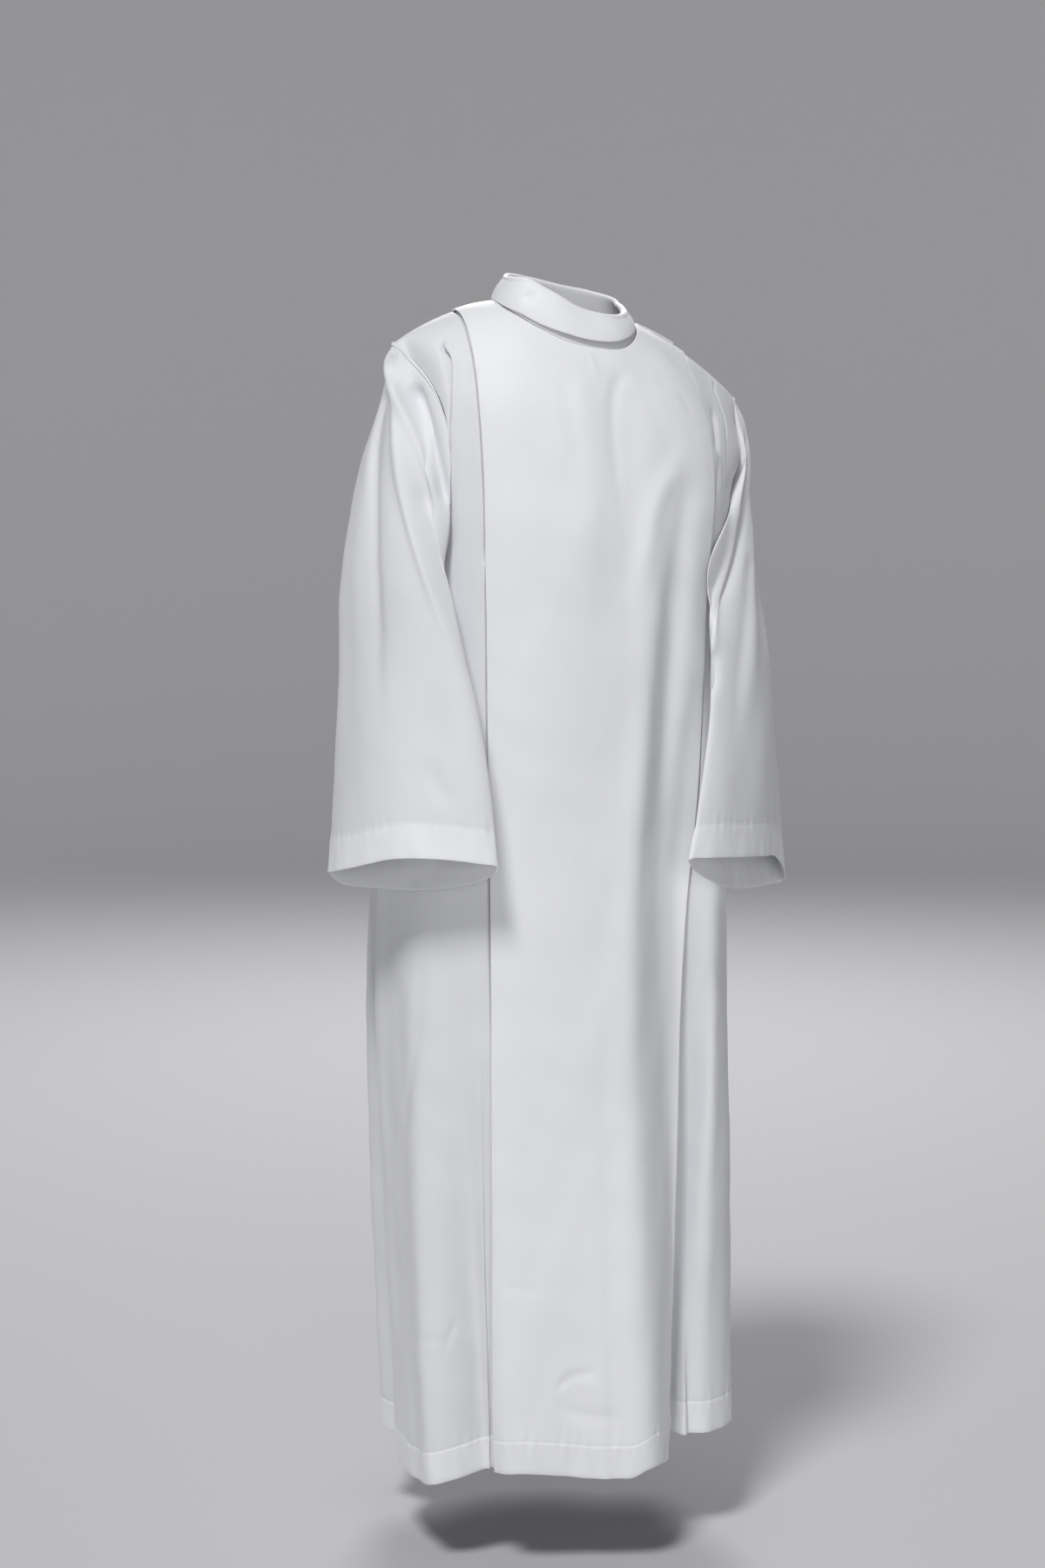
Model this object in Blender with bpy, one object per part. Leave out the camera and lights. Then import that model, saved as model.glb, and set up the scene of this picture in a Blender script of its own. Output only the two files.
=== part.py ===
"""An alb robe, hollow and upright in the form it has when worn.

Metres, +Z up. The front faces -Y and the wearer's right side is at -X. The origin is where the
wearer's shoulders hold the robe, midway between the two shoulder points.
Every piece is a thin wall of cloth: a grid of outer points worked out from the sizes below, and
the same points moved in by the cloth's thickness.
"""
import math
from collections import namedtuple

import bpy
import bmesh
import numpy as np

# ---- cloth and seams ----
CLOTH = 0.0014  # wall of the single cloth
COLLAR_CLOTH = 0.0022  # the collar is doubled and stiffened
PLACKET_CLOTH = 0.0024  # a doubled strip over the shoulder opening
SEAM_GAP = 0.0003
PLEAT_RADIUS = 0.0021  # of the folded edges of the centre panel
PLEAT_GAP = 0.0006  # between the folded edge's underside and the side panel
LIFT = 2 * PLEAT_RADIUS + PLEAT_GAP  # the centre panel lies this far in front of the rest
UNDERLAP = 0.018  # how far a side panel runs on behind the centre panel
SIDE_SINK = CLOTH + 2 * SEAM_GAP  # the back lies this far behind the front where they lap
SIDE_LAP = 4.0  # degrees of that lap, from two rows below the underarm

# ---- heights and breadths of the body ----
UNDERARM_Z = -0.270
HEM_Z = -1.380
TOP_Z = 0.0735  # the shoulder line, carried on across the neck
SHOULDER_DROP = 1.64  # the shoulder line falls by this times the distance squared
UNDERARM_HALF = 0.205
SHOULDER_HALF = 0.228
DOME = 2.05  # roundness of the chest and back as they rise to the shoulder line

# The armholes, -1 on the right and 1 on the left: the share of the half width that is cut away,
# and the distance from the armhole's edge out to the sleeve's outer side.
Armhole = namedtuple("Armhole", "cut gap")
ARMHOLES = {-1: Armhole(0.115, 0.0016), 1: Armhole(0.020, 0.0008)}

# ---- neckline and centre panel ----
NECK_HALF = 0.0880
NECK_FRONT = 0.104
NECK_BACK = 0.055
NECK_SQUARE = 2.6  # of the neckline's curve in plan; 2 is an ellipse
PANEL_HALF = 0.150  # half of the centre panel's width, down to the underarm

BodyRow = namedtuple("BodyRow", "z half_width front back centre square panel_right panel_left")
BODY = (
    BodyRow(-0.270, 0.205, 0.172, 0.135, 0.000, 2.60, -0.150, 0.150),
    BodyRow(-0.480, 0.214, 0.172, 0.150, -0.012, 2.50, -0.150, 0.142),
    BodyRow(-0.700, 0.225, 0.176, 0.172, -0.025, 2.55, -0.151, 0.120),
    BodyRow(-1.050, 0.221, 0.186, 0.190, -0.022, 2.80, -0.152, 0.090),
    BodyRow(-1.380, 0.210, 0.196, 0.200, -0.016, 3.00, -0.152, 0.067),
)

# The hem hangs lower at the right front corner: metres up from HEM_Z by ring angle.
HEM_EASE_Z = -0.90
HemRow = namedtuple("HemRow", "angle rise")
HEM = (
    HemRow(-180, 0.000),
    HemRow(-120, 0.000),
    HemRow(-62, -0.014),
    HemRow(-15, 0.004),
    HemRow(40, 0.002),
    HemRow(78, 0.012),
    HemRow(130, 0.006),
    HemRow(180, 0.000),
)

# Soft folds of the body. The angle is 0 at the front and grows towards the wearer's left; a fold
# swings from angle to low_angle, grows from top to full and fades from fade to end.
Fold = namedtuple("Fold", "name angle low_angle width depth top full fade end")
BODY_FOLDS = (
    Fold("centre_ridge", 3, 9, 13, 0.014, -0.55, -1.25, -2.0, -2.2),
    Fold("right_pleat_hollow", -40, -39, 9, -0.030, -0.60, -1.38, -2.0, -2.2),
    Fold("right_front_ridge", -62, -60, 9, 0.020, -0.55, -1.38, -2.0, -2.2),
    Fold("left_pleat_hollow", 38, 42, 12, -0.052, -0.50, -1.30, -2.0, -2.2),
    Fold("left_front_ridge", 72, 74, 9, 0.008, -0.60, -1.38, -2.0, -2.2),
    Fold("right_side_hollow", -102, -100, 8, -0.014, -0.55, -1.20, -2.0, -2.2),
    Fold("back_right_ridge", -138, -135, 10, 0.012, -0.60, -1.38, -2.0, -2.2),
    Fold("back_right_hollow", -157, -154, 9, -0.018, -0.50, -1.38, -2.0, -2.2),
    Fold("back_ridge", 178, 181, 10, 0.014, -0.45, -1.30, -2.0, -2.2),
    Fold("back_left_hollow", 153, 151, 9, -0.016, -0.55, -1.38, -2.0, -2.2),
    Fold("back_left_ridge", 129, 126, 10, 0.017, -0.65, -1.38, -2.0, -2.2),
    Fold("left_side_hollow", 103, 100, 8, -0.012, -0.60, -1.20, -2.0, -2.2),
    Fold("right_armhole_hollow", -70, -76, 7, -0.024, 0.05, -0.02, -0.18, -0.34),
    Fold("right_armhole_ridge", -54, -62, 6, 0.005, 0.03, -0.06, -0.24, -0.42),
    Fold("left_armhole_hollow", 76, 80, 7, -0.013, 0.00, -0.08, -0.18, -0.34),
    Fold("chest_trough", 9, 11, 5, -0.006, 0.02, -0.06, -0.20, -0.48),
    Fold("chest_ridge", -2, -1, 6, 0.003, 0.02, -0.05, -0.15, -0.35),
)

# ---- sleeves: one row for each ring, outward is +X in both tables ----
# front and back are the ring's two edges, outer and inner the swell of its walls between them.
SleeveRow = namedtuple(
    "SleeveRow", "down outer_z inner_z front_x front_y back_x back_y outer inner"
)
RIGHT_SLEEVE = (
    SleeveRow(0.00, -0.012, -0.270, 0.195, -0.071, 0.195, 0.056, 0.033, -0.010),
    SleeveRow(0.25, -0.150, -0.345, 0.206, -0.105, 0.242, 0.060, 0.038, 0.000),
    SleeveRow(0.45, -0.270, -0.430, 0.190, -0.150, 0.274, 0.048, 0.048, 0.006),
    SleeveRow(0.62, -0.380, -0.500, 0.174, -0.178, 0.284, 0.034, 0.054, 0.008),
    SleeveRow(0.80, -0.490, -0.575, 0.165, -0.200, 0.300, 0.014, 0.060, 0.008),
    SleeveRow(1.00, -0.609, -0.658, 0.160, -0.216, 0.318, -0.016, 0.060, 0.006),
)
LEFT_SLEEVE = (
    SleeveRow(0.00, -0.012, -0.270, 0.195, -0.071, 0.195, 0.056, 0.033, -0.010),
    SleeveRow(0.25, -0.150, -0.345, 0.196, -0.112, 0.230, 0.058, 0.018, 0.000),
    SleeveRow(0.45, -0.265, -0.420, 0.144, -0.164, 0.260, 0.038, 0.032, 0.006),
    SleeveRow(0.62, -0.375, -0.495, 0.126, -0.188, 0.273, 0.018, 0.040, 0.006),
    SleeveRow(0.80, -0.490, -0.575, 0.103, -0.210, 0.280, -0.006, 0.042, 0.006),
    SleeveRow(1.00, -0.609, -0.658, 0.079, -0.228, 0.288, -0.030, 0.036, 0.004),
)
CUFF_LENS = 0.70  # 0.5 is an ellipse, 1 a lens with two sharp edges
CUFF_TILT = 0.011  # the cuff's front edge is held this much up and its back edge down
SLEEVE_CLEAR = 0.012  # the sleeves hang this clear of the body
CAP_RISE = 0.006  # the sleeve head stands up over the shoulder point
CAP_TOP = 0.03  # where along the sleeve it stands highest
CAP_END = 0.16

# Folds that run down a sleeve. The angle is 0 on the outer line, 90 at the front edge and 180
# at the inner seam; down is 0 at the armhole and 1 at the cuff.
SleeveFold = namedtuple("SleeveFold", "name angle low_angle width depth top full fade end")
RIGHT_SLEEVE_FOLDS = (
    SleeveFold("front_ridge", 28, 62, 10, 0.008, 0.02, 0.15, 0.40, 0.62),
    SleeveFold("front_trough", 48, 76, 9, -0.010, 0.02, 0.15, 0.38, 0.55),
    SleeveFold("outer_trough", 358, 352, 12, -0.007, 0.02, 0.20, 0.45, 0.80),
    SleeveFold("back_ridge", 318, 310, 12, 0.006, 0.05, 0.25, 0.60, 0.90),
    SleeveFold("cuff_hollow", 40, 44, 22, -0.006, 0.55, 0.80, 0.95, 1.20),
    SleeveFold("inner_trough", 205, 200, 14, -0.006, 0.10, 0.30, 0.60, 0.90),
)
LEFT_SLEEVE_FOLDS = (
    SleeveFold("cap_fullness", 0, 0, 40, 0.012, 0.00, 0.07, 0.10, 0.24),
    SleeveFold("front_trough", 30, 58, 9, -0.009, 0.02, 0.15, 0.35, 0.60),
    SleeveFold("front_ridge", 8, 30, 11, 0.007, 0.04, 0.18, 0.50, 0.80),
    SleeveFold("back_trough", 322, 312, 12, -0.007, 0.04, 0.22, 0.50, 0.85),
    SleeveFold("cuff_hollow", 330, 336, 20, -0.005, 0.50, 0.80, 0.95, 1.20),
    SleeveFold("inner_trough", 203, 198, 14, -0.006, 0.10, 0.30, 0.60, 0.90),
)

# ---- collar: a stand turned over into a fall, with a row for each section around the neck ----
# The angle is 0 at the front and grows towards the wearer's left. The rim is the height of the
# rolled top before the pose, lean how far it leans in, drop the height of the fall and spread
# how far the fall stands out at its lower edge.
CollarRow = namedtuple("CollarRow", "angle rim lean drop spread")
COLLAR = (
    CollarRow(-180, 0.1040, 0.008, 0.036, 0.009),
    CollarRow(-135, 0.1030, 0.012, 0.035, 0.012),
    CollarRow(-90, 0.0970, 0.018, 0.030, 0.016),
    CollarRow(-62, 0.0915, 0.020, 0.040, 0.016),
    CollarRow(-40, 0.0790, 0.021, 0.045, 0.016),
    CollarRow(-18, 0.0660, 0.021, 0.043, 0.017),
    CollarRow(0, 0.0600, 0.021, 0.040, 0.017),
    CollarRow(20, 0.0600, 0.020, 0.036, 0.015),
    CollarRow(40, 0.0665, 0.020, 0.031, 0.012),
    CollarRow(64, 0.0750, 0.019, 0.023, 0.010),
    CollarRow(90, 0.0880, 0.018, 0.025, 0.009),
    CollarRow(118, 0.0990, 0.014, 0.030, 0.009),
    CollarRow(150, 0.1035, 0.010, 0.035, 0.009),
    CollarRow(180, 0.1040, 0.008, 0.036, 0.009),
)
FALL_BULGE = 0.002
COLLAR_ROLL = 0.0046  # radius of the rolled top edge

# ---- shoulder placket, on the wearer's left ----
PLACKET_START = 0.0935
PLACKET_END = 0.1380
PLACKET_HALF_WIDTH = 0.013

# ---- the pose: the wearer's right shoulder is held higher ----
POSE_SLOPE = 0.13
POSE_FULL_Z = -0.05
POSE_NONE_Z = -0.70
NECK_TILT = 0.030  # the neck and the inner shoulders lean this much more
NECK_TILT_NONE_Z = -0.16

# ---- mesh steps ----
ROWS_UP = 8
ROWS_DOWN = 13
NECK_COLUMNS = 12
SHOULDER_COLUMNS = 3
SIDE_COLUMNS = 9
BACK_SIDE_COLUMNS = 12
RING_POINTS = 32
SLEEVE_ROWS = 16
COLLAR_POINTS = 36
PLEAT_STEPS = 5
PLEAT_RUN_STEPS = 3

WHITE = (0.83, 0.84, 0.87, 1.0)
CLOTH_ROUGHNESS = 0.62

PROBE = 0.002  # steps for reading a surface's direction
PROBE_ANGLE = 0.5


def smooth(low, high, value):
    """0 before low, 1 after high and an even S between them; low may be the greater."""
    share = min(1.0, max(0.0, (value - low) / (high - low)))
    return share * share * (3 - 2 * share)


def read(rows, key, column, at):
    """The value of a table's column at a place between its rows, on a smooth curve."""
    places = [getattr(row, key) for row in rows]
    values = [getattr(row, column) for row in rows]
    if places[0] > places[-1]:
        places.reverse()
        values.reverse()
    at = min(max(at, places[0]), places[-1])
    last = len(places) - 1
    index = max(i for i in range(last) if places[i] <= at)
    span = places[index + 1] - places[index]
    share = (at - places[index]) / span

    def slope(i):
        low, high = max(i - 1, 0), min(i + 1, last)
        return (values[high] - values[low]) / (places[high] - places[low])

    start, end = slope(index) * span, slope(index + 1) * span
    square, cube = share**2, share**3
    return (
        values[index] * (2 * cube - 3 * square + 1)
        + start * (cube - 2 * square + share)
        + values[index + 1] * (3 * square - 2 * cube)
        + end * (cube - square)
    )


def turn(angle, centre):
    """The difference between two angles in degrees, from -180 to 180."""
    return (angle - centre + 180) % 360 - 180


def body_folds(angle, z):
    total = 0.0
    for fold in BODY_FOLDS:
        swing = smooth(fold.top, max(fold.end, HEM_Z), z)
        centre = fold.angle + (fold.low_angle - fold.angle) * swing
        strength = smooth(fold.top, fold.full, z) * (1 - smooth(fold.fade, fold.end, z))
        total += fold.depth * strength * math.exp(-((turn(angle, centre) / fold.width) ** 2))
    return total


def shoulder_z(x):
    return TOP_Z - SHOULDER_DROP * x * x


def angle_of(share, square):
    """The ring angle, in degrees, of a point at this share of the half width."""
    share = max(-1.0, min(1.0, share))
    return math.degrees(math.asin(math.copysign(abs(share) ** (square / 2), share)))


def ring_base(angle, z):
    """A point of the body below the underarm: a squared oval with its folds."""
    half = read(BODY, "z", "half_width", z)
    square = read(BODY, "z", "square", z)
    across, along = math.sin(math.radians(angle)), math.cos(math.radians(angle))
    deep = read(BODY, "z", "front" if along >= 0 else "back", z)
    x = half * math.copysign(abs(across) ** (2 / square), across)
    y = -deep * math.copysign(abs(along) ** (2 / square), along)
    normal = np.array(
        [
            math.copysign(abs(x / half) ** (square - 1), x) / half,
            math.copysign(abs(y / deep) ** (square - 1), y) / deep,
        ]
    )
    out = normal / np.linalg.norm(normal) * body_folds(angle, z)
    rise = read(HEM, "angle", "rise", turn(angle, 0)) * smooth(HEM_EASE_Z, HEM_Z, z)
    return np.array([read(BODY, "z", "centre", z) + x + out[0], y + out[1], z + rise])


def ring_point(angle, z, lift=0.0):
    """A point of the body's oval, moved out by lift."""
    point = ring_base(angle, z)
    if lift == 0:
        return point
    low, high = max(z - PROBE, HEM_Z), min(z + PROBE, UNDERARM_Z)
    across = ring_base(angle + PROBE_ANGLE, z) - ring_base(angle - PROBE_ANGLE, z)
    down = ring_base(angle, low) - ring_base(angle, high)
    return point + unit(np.cross(down, across)) * lift


def upper_base(x, rise, side):
    """A point of the chest or back: rise is 0 at the underarm and 1 on the shoulder line.

    side is -1 for the front and 1 for the back.
    """
    z = UNDERARM_Z + (shoulder_z(x) - UNDERARM_Z) * rise
    square = BODY[0].square
    share = min(1.0, abs(x) / upper_half(rise))
    deep = BODY[0].front if side < 0 else BODY[0].back
    angle = angle_of(math.copysign(share, x), square)
    fold = body_folds(angle if side < 0 else 180 - angle, z)
    flat = (1 - share**square) ** (1 / square)
    arch = (1 - rise**DOME) ** (1 / DOME)
    return np.array([x, side * ((deep * flat + fold) * arch + SEAM_GAP / 2), z])


def upper_point(x, rise, side, lift=0.0):
    """A point of the chest or back, moved out by lift."""
    point = upper_base(x, rise, side)
    if lift == 0:
        return point
    middle = min(max(rise, 2 * PROBE), 1 - 2 * PROBE)
    across = upper_base(x + PROBE, middle, side) - upper_base(x - PROBE, middle, side)
    down = upper_base(x, middle - PROBE, side) - upper_base(x, middle + PROBE, side)
    normal = unit(np.cross(down, across) * -side)
    if rise > 1 - 1e-3:
        normal = unit(normal * np.array([1, 0, 1]))
    return point + normal * lift


def upper_half(rise):
    return UNDERARM_HALF + (SHOULDER_HALF - UNDERARM_HALF) * rise**3


def armhole_x(side, rise):
    """The armhole's distance from the middle; side is -1 on the right and 1 on the left."""
    return upper_half(rise) * (1 - ARMHOLES[side].cut * math.sin(math.pi * rise))


def neck_rise(x, side):
    """How far up the dome the neckline crosses the column at x; 1 outside the neck."""
    if abs(x) >= NECK_HALF:
        return 1.0
    reach = NECK_FRONT if side < 0 else NECK_BACK
    deep = BODY[0].front if side < 0 else BODY[0].back
    square = BODY[0].square
    flat = (1 - (abs(x) / UNDERARM_HALF) ** square) ** (1 / square)
    forward = reach * (1 - (abs(x) / NECK_HALF) ** NECK_SQUARE) ** (1 / NECK_SQUARE)
    arch = min(1.0, forward / (deep * flat))
    return (1 - arch**DOME) ** (1 / DOME)


def rise_at(row, top=1.0):
    """How far up a row lies in a column that starts at top; rows are closer near the top."""
    steep = math.asin(top ** (DOME / 2))
    return math.sin(steep * (1 - row / ROWS_UP)) ** (2 / DOME)


def neck_column_rise(x, row, side):
    """A row's place in a column under the neckline; lower rows run in one soft curve."""
    middle = neck_rise(0.0, side)
    bell = max(0.0, 1 - (x / PANEL_HALF) ** 2) ** 2
    common = 1 - (1 - middle) * bell
    share = smooth(0, 3, row)
    return rise_at(row, neck_rise(x, side) * (1 - share) + common * share)


def pose(point):
    """Lean the shoulders: the wearer's right side rises and the left side drops."""
    x, y, z = point
    near_neck = max(0.0, 1 - (x / SHOULDER_HALF) ** 2) * smooth(NECK_TILT_NONE_Z, POSE_FULL_Z, z)
    slope = POSE_SLOPE * smooth(POSE_NONE_Z, POSE_FULL_Z, z) + NECK_TILT * near_neck
    return (x, y, z - slope * x)


def normals(grid, wrap):
    """The outward unit normal at each point of a grid of rows and columns."""
    down = np.gradient(grid, axis=0)
    if wrap:
        across = np.roll(grid, -1, axis=1) - np.roll(grid, 1, axis=1)
    else:
        across = np.gradient(grid, axis=1)
    out = np.cross(down, across)
    return out / np.maximum(np.linalg.norm(out, axis=2, keepdims=True), 1e-12)


def wall(name, grid, thickness, wrap=False, side=0):
    """One closed wall of cloth: the grid is its outer side, row by row from the top.

    side is -1 or 1 for a front or a back piece, whose wall keeps to its own side of the
    shoulder and armhole seams.
    """
    grid = np.array([[pose(p) for p in row] for row in grid])
    inner = grid - normals(grid, wrap) * thickness
    if side:
        chest = inner[: ROWS_UP + 1, :, 1]
        chest[:] = side * np.maximum(side * chest, SEAM_GAP / 2)
    rows, columns = grid.shape[:2]
    mesh = bmesh.new()
    outside = [[mesh.verts.new(p) for p in row] for row in grid]
    inside = [[mesh.verts.new(p) for p in row] for row in inner]
    last = columns if wrap else columns - 1
    for i in range(rows - 1):
        for j in range(last):
            k = (j + 1) % columns
            mesh.faces.new((outside[i][j], outside[i + 1][j], outside[i + 1][k], outside[i][k]))
            mesh.faces.new((inside[i][k], inside[i + 1][k], inside[i + 1][j], inside[i][j]))
    for j in range(last):
        k = (j + 1) % columns
        mesh.faces.new((outside[0][j], outside[0][k], inside[0][k], inside[0][j]))
        mesh.faces.new((outside[-1][k], outside[-1][j], inside[-1][j], inside[-1][k]))
    if not wrap:
        for i in range(rows - 1):
            mesh.faces.new((outside[i][0], inside[i][0], inside[i + 1][0], outside[i + 1][0]))
            mesh.faces.new((outside[i][-1], outside[i + 1][-1], inside[i + 1][-1], inside[i][-1]))
    data = bpy.data.meshes.new(name)
    mesh.to_mesh(data)
    mesh.free()
    data.shade_smooth()
    data.set_sharp_from_angle(angle=math.radians(50))
    data.materials.append(cloth_material(name))
    thing = bpy.data.objects.new(name, data)
    bpy.context.collection.objects.link(thing)
    return thing


def cloth_material(name):
    material = bpy.data.materials.new(name + "_cloth")
    material.use_nodes = True
    shader = material.node_tree.nodes["Principled BSDF"]
    shader.inputs["Base Color"].default_value = WHITE
    shader.inputs["Roughness"].default_value = CLOTH_ROUGHNESS
    shader.inputs["Metallic"].default_value = 0.0
    return material


def heights():
    return np.linspace(UNDERARM_Z, HEM_Z, ROWS_DOWN + 1)[1:]


def panel_shares():
    """The centre panel's columns as shares of its half width, closer together at the neck."""
    neck = [
        NECK_HALF / PANEL_HALF * math.sin(a)
        for a in np.linspace(-math.pi / 2, math.pi / 2, NECK_COLUMNS + 1)
    ]
    outer = list(np.linspace(1, NECK_HALF / PANEL_HALF, SHOULDER_COLUMNS + 1)[:-1])
    return [-s for s in outer] + neck + outer[::-1]


def panel_point(share, row, lift):
    """A point on the centre panel's place: rows up to ROWS_UP are the chest."""
    if row <= ROWS_UP:
        x = share * PANEL_HALF
        return upper_point(x, neck_column_rise(x, row, -1), -1, lift)
    z = heights()[row - ROWS_UP - 1]
    right = read(BODY, "z", "panel_right", z)
    left = read(BODY, "z", "panel_left", z)
    x = (right + left) / 2 + share * (left - right) / 2
    return ring_point(front_angle(x, z), z, lift)


def front_angle(x, z):
    share = (x - read(BODY, "z", "centre", z)) / read(BODY, "z", "half_width", z)
    return angle_of(share, read(BODY, "z", "square", z))


def lap(row):
    """(share of the sink, share of the lap) at the side seam: it sinks first and laps below."""
    return min(1.0, max(0.0, row - ROWS_UP)), min(1.0, max(0.0, row - ROWS_UP - 1))


def edge_angle(side, row):
    """The ring angle of the armhole's edge in the upper rows and of the side seam below."""
    if row > ROWS_UP:
        return 90.0
    rise = rise_at(row)
    return angle_of(armhole_x(side, rise) / upper_half(rise), BODY[0].square)


def side_columns(side, row):
    """A front side panel's points in one row, from behind the centre panel to the side seam."""
    edge = edge_angle(side, row)
    turns = SIDE_LAP * lap(row)[1]
    points = []
    if row <= ROWS_UP:
        rise = rise_at(row)
        inner = angle_of((PANEL_HALF - UNDERLAP) / upper_half(rise), BODY[0].square)
        for angle in np.linspace(inner, edge, SIDE_COLUMNS + 1):
            x = upper_half(rise) * math.sin(math.radians(angle)) ** (2 / BODY[0].square)
            points.append(upper_point(side * (x - SEAM_GAP), rise, -1))
        return points
    z = heights()[row - ROWS_UP - 1]
    panel = read(BODY, "z", "panel_right" if side < 0 else "panel_left", z)
    inner = abs(front_angle(panel - side * UNDERLAP, z))
    angles = list(np.linspace(inner, edge - max(turns, 0.1), SIDE_COLUMNS)) + [edge - 0.05]
    if turns == 0:
        angles = np.linspace(inner, edge - 0.05, SIDE_COLUMNS + 1)
    return [ring_point(side * angle, z) for angle in angles]


def pleat(edge, beside, below, panel_edge):
    """The folded edge of the centre panel: half a turn, then back to rest on the side panel.

    beside is the next point of the panel's face, below is the edge's place on the robe and
    panel_edge the end of the side panel behind it.
    """
    backward = unit(below - edge)
    inward = beside - edge
    inward = unit(inward - backward * np.dot(inward, backward))
    target = panel_edge - backward * PLEAT_GAP
    centre = edge + backward * PLEAT_RADIUS
    arc = [
        centre + PLEAT_RADIUS * (-backward * math.cos(a) - inward * math.sin(a))
        for a in np.linspace(0, math.pi, PLEAT_STEPS + 1)[1:]
    ]
    start = arc[-1]
    bend = start + inward * np.linalg.norm(target - start) / 2
    run = [
        start * (1 - s) ** 2 + bend * 2 * s * (1 - s) + target * s * s
        for s in np.linspace(0, 1, PLEAT_RUN_STEPS + 1)[1:]
    ]
    return arc + run


def centre_panel_grid():
    """Rows of the front centre panel with its two folded edges."""
    grid = []
    total = ROWS_UP + ROWS_DOWN + 1
    sides = {side: [side_columns(side, row) for row in range(total)] for side in (-1, 1)}
    for row in range(total):
        face = [panel_point(share, row, LIFT) for share in panel_shares()]
        base = [panel_point(share, row, 0.0) for share in (-1.0, 1.0)]
        right = pleat(face[0], face[1], base[0], sides[-1][row][0])
        left = pleat(face[-1], face[-2], base[1], sides[1][row][0])
        grid.append(right[::-1] + face + left)
    return grid


def unit(vector):
    return vector / np.linalg.norm(vector)


def side_grid(side):
    grid = [side_columns(side, row) for row in range(ROWS_UP + ROWS_DOWN + 1)]
    return [row[::-1] for row in grid] if side < 0 else grid


def back_grid():
    """The back in one piece, from the left side seam round to the right one."""
    neck = [NECK_HALF * math.sin(a) for a in np.linspace(math.pi / 2, 0, NECK_COLUMNS // 2 + 1)]
    grid = []
    for row in range(ROWS_UP + ROWS_DOWN + 1):
        half = {}
        for side in (1, -1):
            outer = back_side_columns(side, row)
            inner = [back_neck_point(side * x, row) for x in neck]
            half[side] = outer + inner
        grid.append(half[1] + half[-1][::-1][1:])
    return grid


def back_lift(x, rise):
    """Near the shoulder seam the back comes up level with the raised centre panel."""
    return LIFT * smooth(PANEL_HALF + 0.004, PANEL_HALF - 0.012, abs(x)) * smooth(0.4, 1.0, rise)


def neck_angle(x):
    """The ring angle, counted from the centre back, of the column that starts at x."""
    return angle_of(abs(x) / UNDERARM_HALF, BODY[0].square)


def back_side_columns(side, row):
    """The back's points from the side seam to just short of the neck's side."""
    edge, inner = edge_angle(side, row), neck_angle(NECK_HALF)
    sink, lapped = lap(row)
    points = []
    if row <= ROWS_UP:
        rise = rise_at(row)
        for angle in np.linspace(edge, inner, BACK_SIDE_COLUMNS + 1)[:-1]:
            x = upper_half(rise) * math.sin(math.radians(angle)) ** (2 / BODY[0].square)
            points.append(upper_point(side * (x - SEAM_GAP), rise, 1, back_lift(x, rise)))
        return points
    z = heights()[row - ROWS_UP - 1]
    turns = SIDE_LAP * lapped
    start = [180 - edge + turns, 180 - edge] if turns else [180 - edge - 0.05]
    rest = np.linspace(180 - edge, inner, BACK_SIDE_COLUMNS + 2 - len(start))[1:-1]
    for angle in start + list(rest):
        lift = -SIDE_SINK * sink * smooth(180 - edge - 12, 180 - edge - 4, angle)
        points.append(ring_point(side * (180 - angle), z, lift))
    return points


def back_neck_point(x, row):
    if row <= ROWS_UP:
        rise = neck_column_rise(x, row, 1)
        return upper_point(x, rise, 1, back_lift(x, rise))
    z = heights()[row - ROWS_UP - 1]
    side = 1 if x >= 0 else -1
    return ring_point(side * (180 - neck_angle(x)), z)


def armhole_point(angle, mirror):
    """The armhole's edge as seen by the sleeve: 0 on the shoulder, 90 in front, 180 below."""
    rise = (1 + math.cos(math.radians(angle))) / 2
    side = -1 if math.sin(math.radians(angle)) >= 0 else 1
    x = armhole_x(mirror, rise)
    point = upper_point(mirror * x, min(rise, 1 - 1e-6), side)
    return point * np.array([mirror, 1, 1]) + np.array([ARMHOLES[mirror].gap, 0, 0])


def sleeve_ring(rows, angle, down):
    """A point of the sleeve's oval ring, before it is fitted to the armhole."""
    front = np.array([read(rows, "down", "front_x", down), read(rows, "down", "front_y", down)])
    back = np.array([read(rows, "down", "back_x", down), read(rows, "down", "back_y", down)])
    outer_z = read(rows, "down", "outer_z", down)
    inner_z = read(rows, "down", "inner_z", down)
    middle = (front + back) / 2
    chord = (front - back) / 2
    out = np.array([-chord[1], chord[0]])
    out = out / np.linalg.norm(out)
    across, over = math.sin(math.radians(angle)), math.cos(math.radians(angle))
    swell = read(rows, "down", "outer" if over >= 0 else "inner", down)
    lens = abs(over) ** (2 * (0.5 + (CUFF_LENS - 0.5) * smooth(0.1, 0.6, down)))
    flat = middle + chord * across + out * math.copysign(lens, over) * swell
    z = (outer_z + inner_z) / 2 + (outer_z - inner_z) / 2 * over
    z += CUFF_TILT * across * smooth(0.3, 1.0, down)
    return np.array([flat[0], flat[1], z]), out


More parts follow.
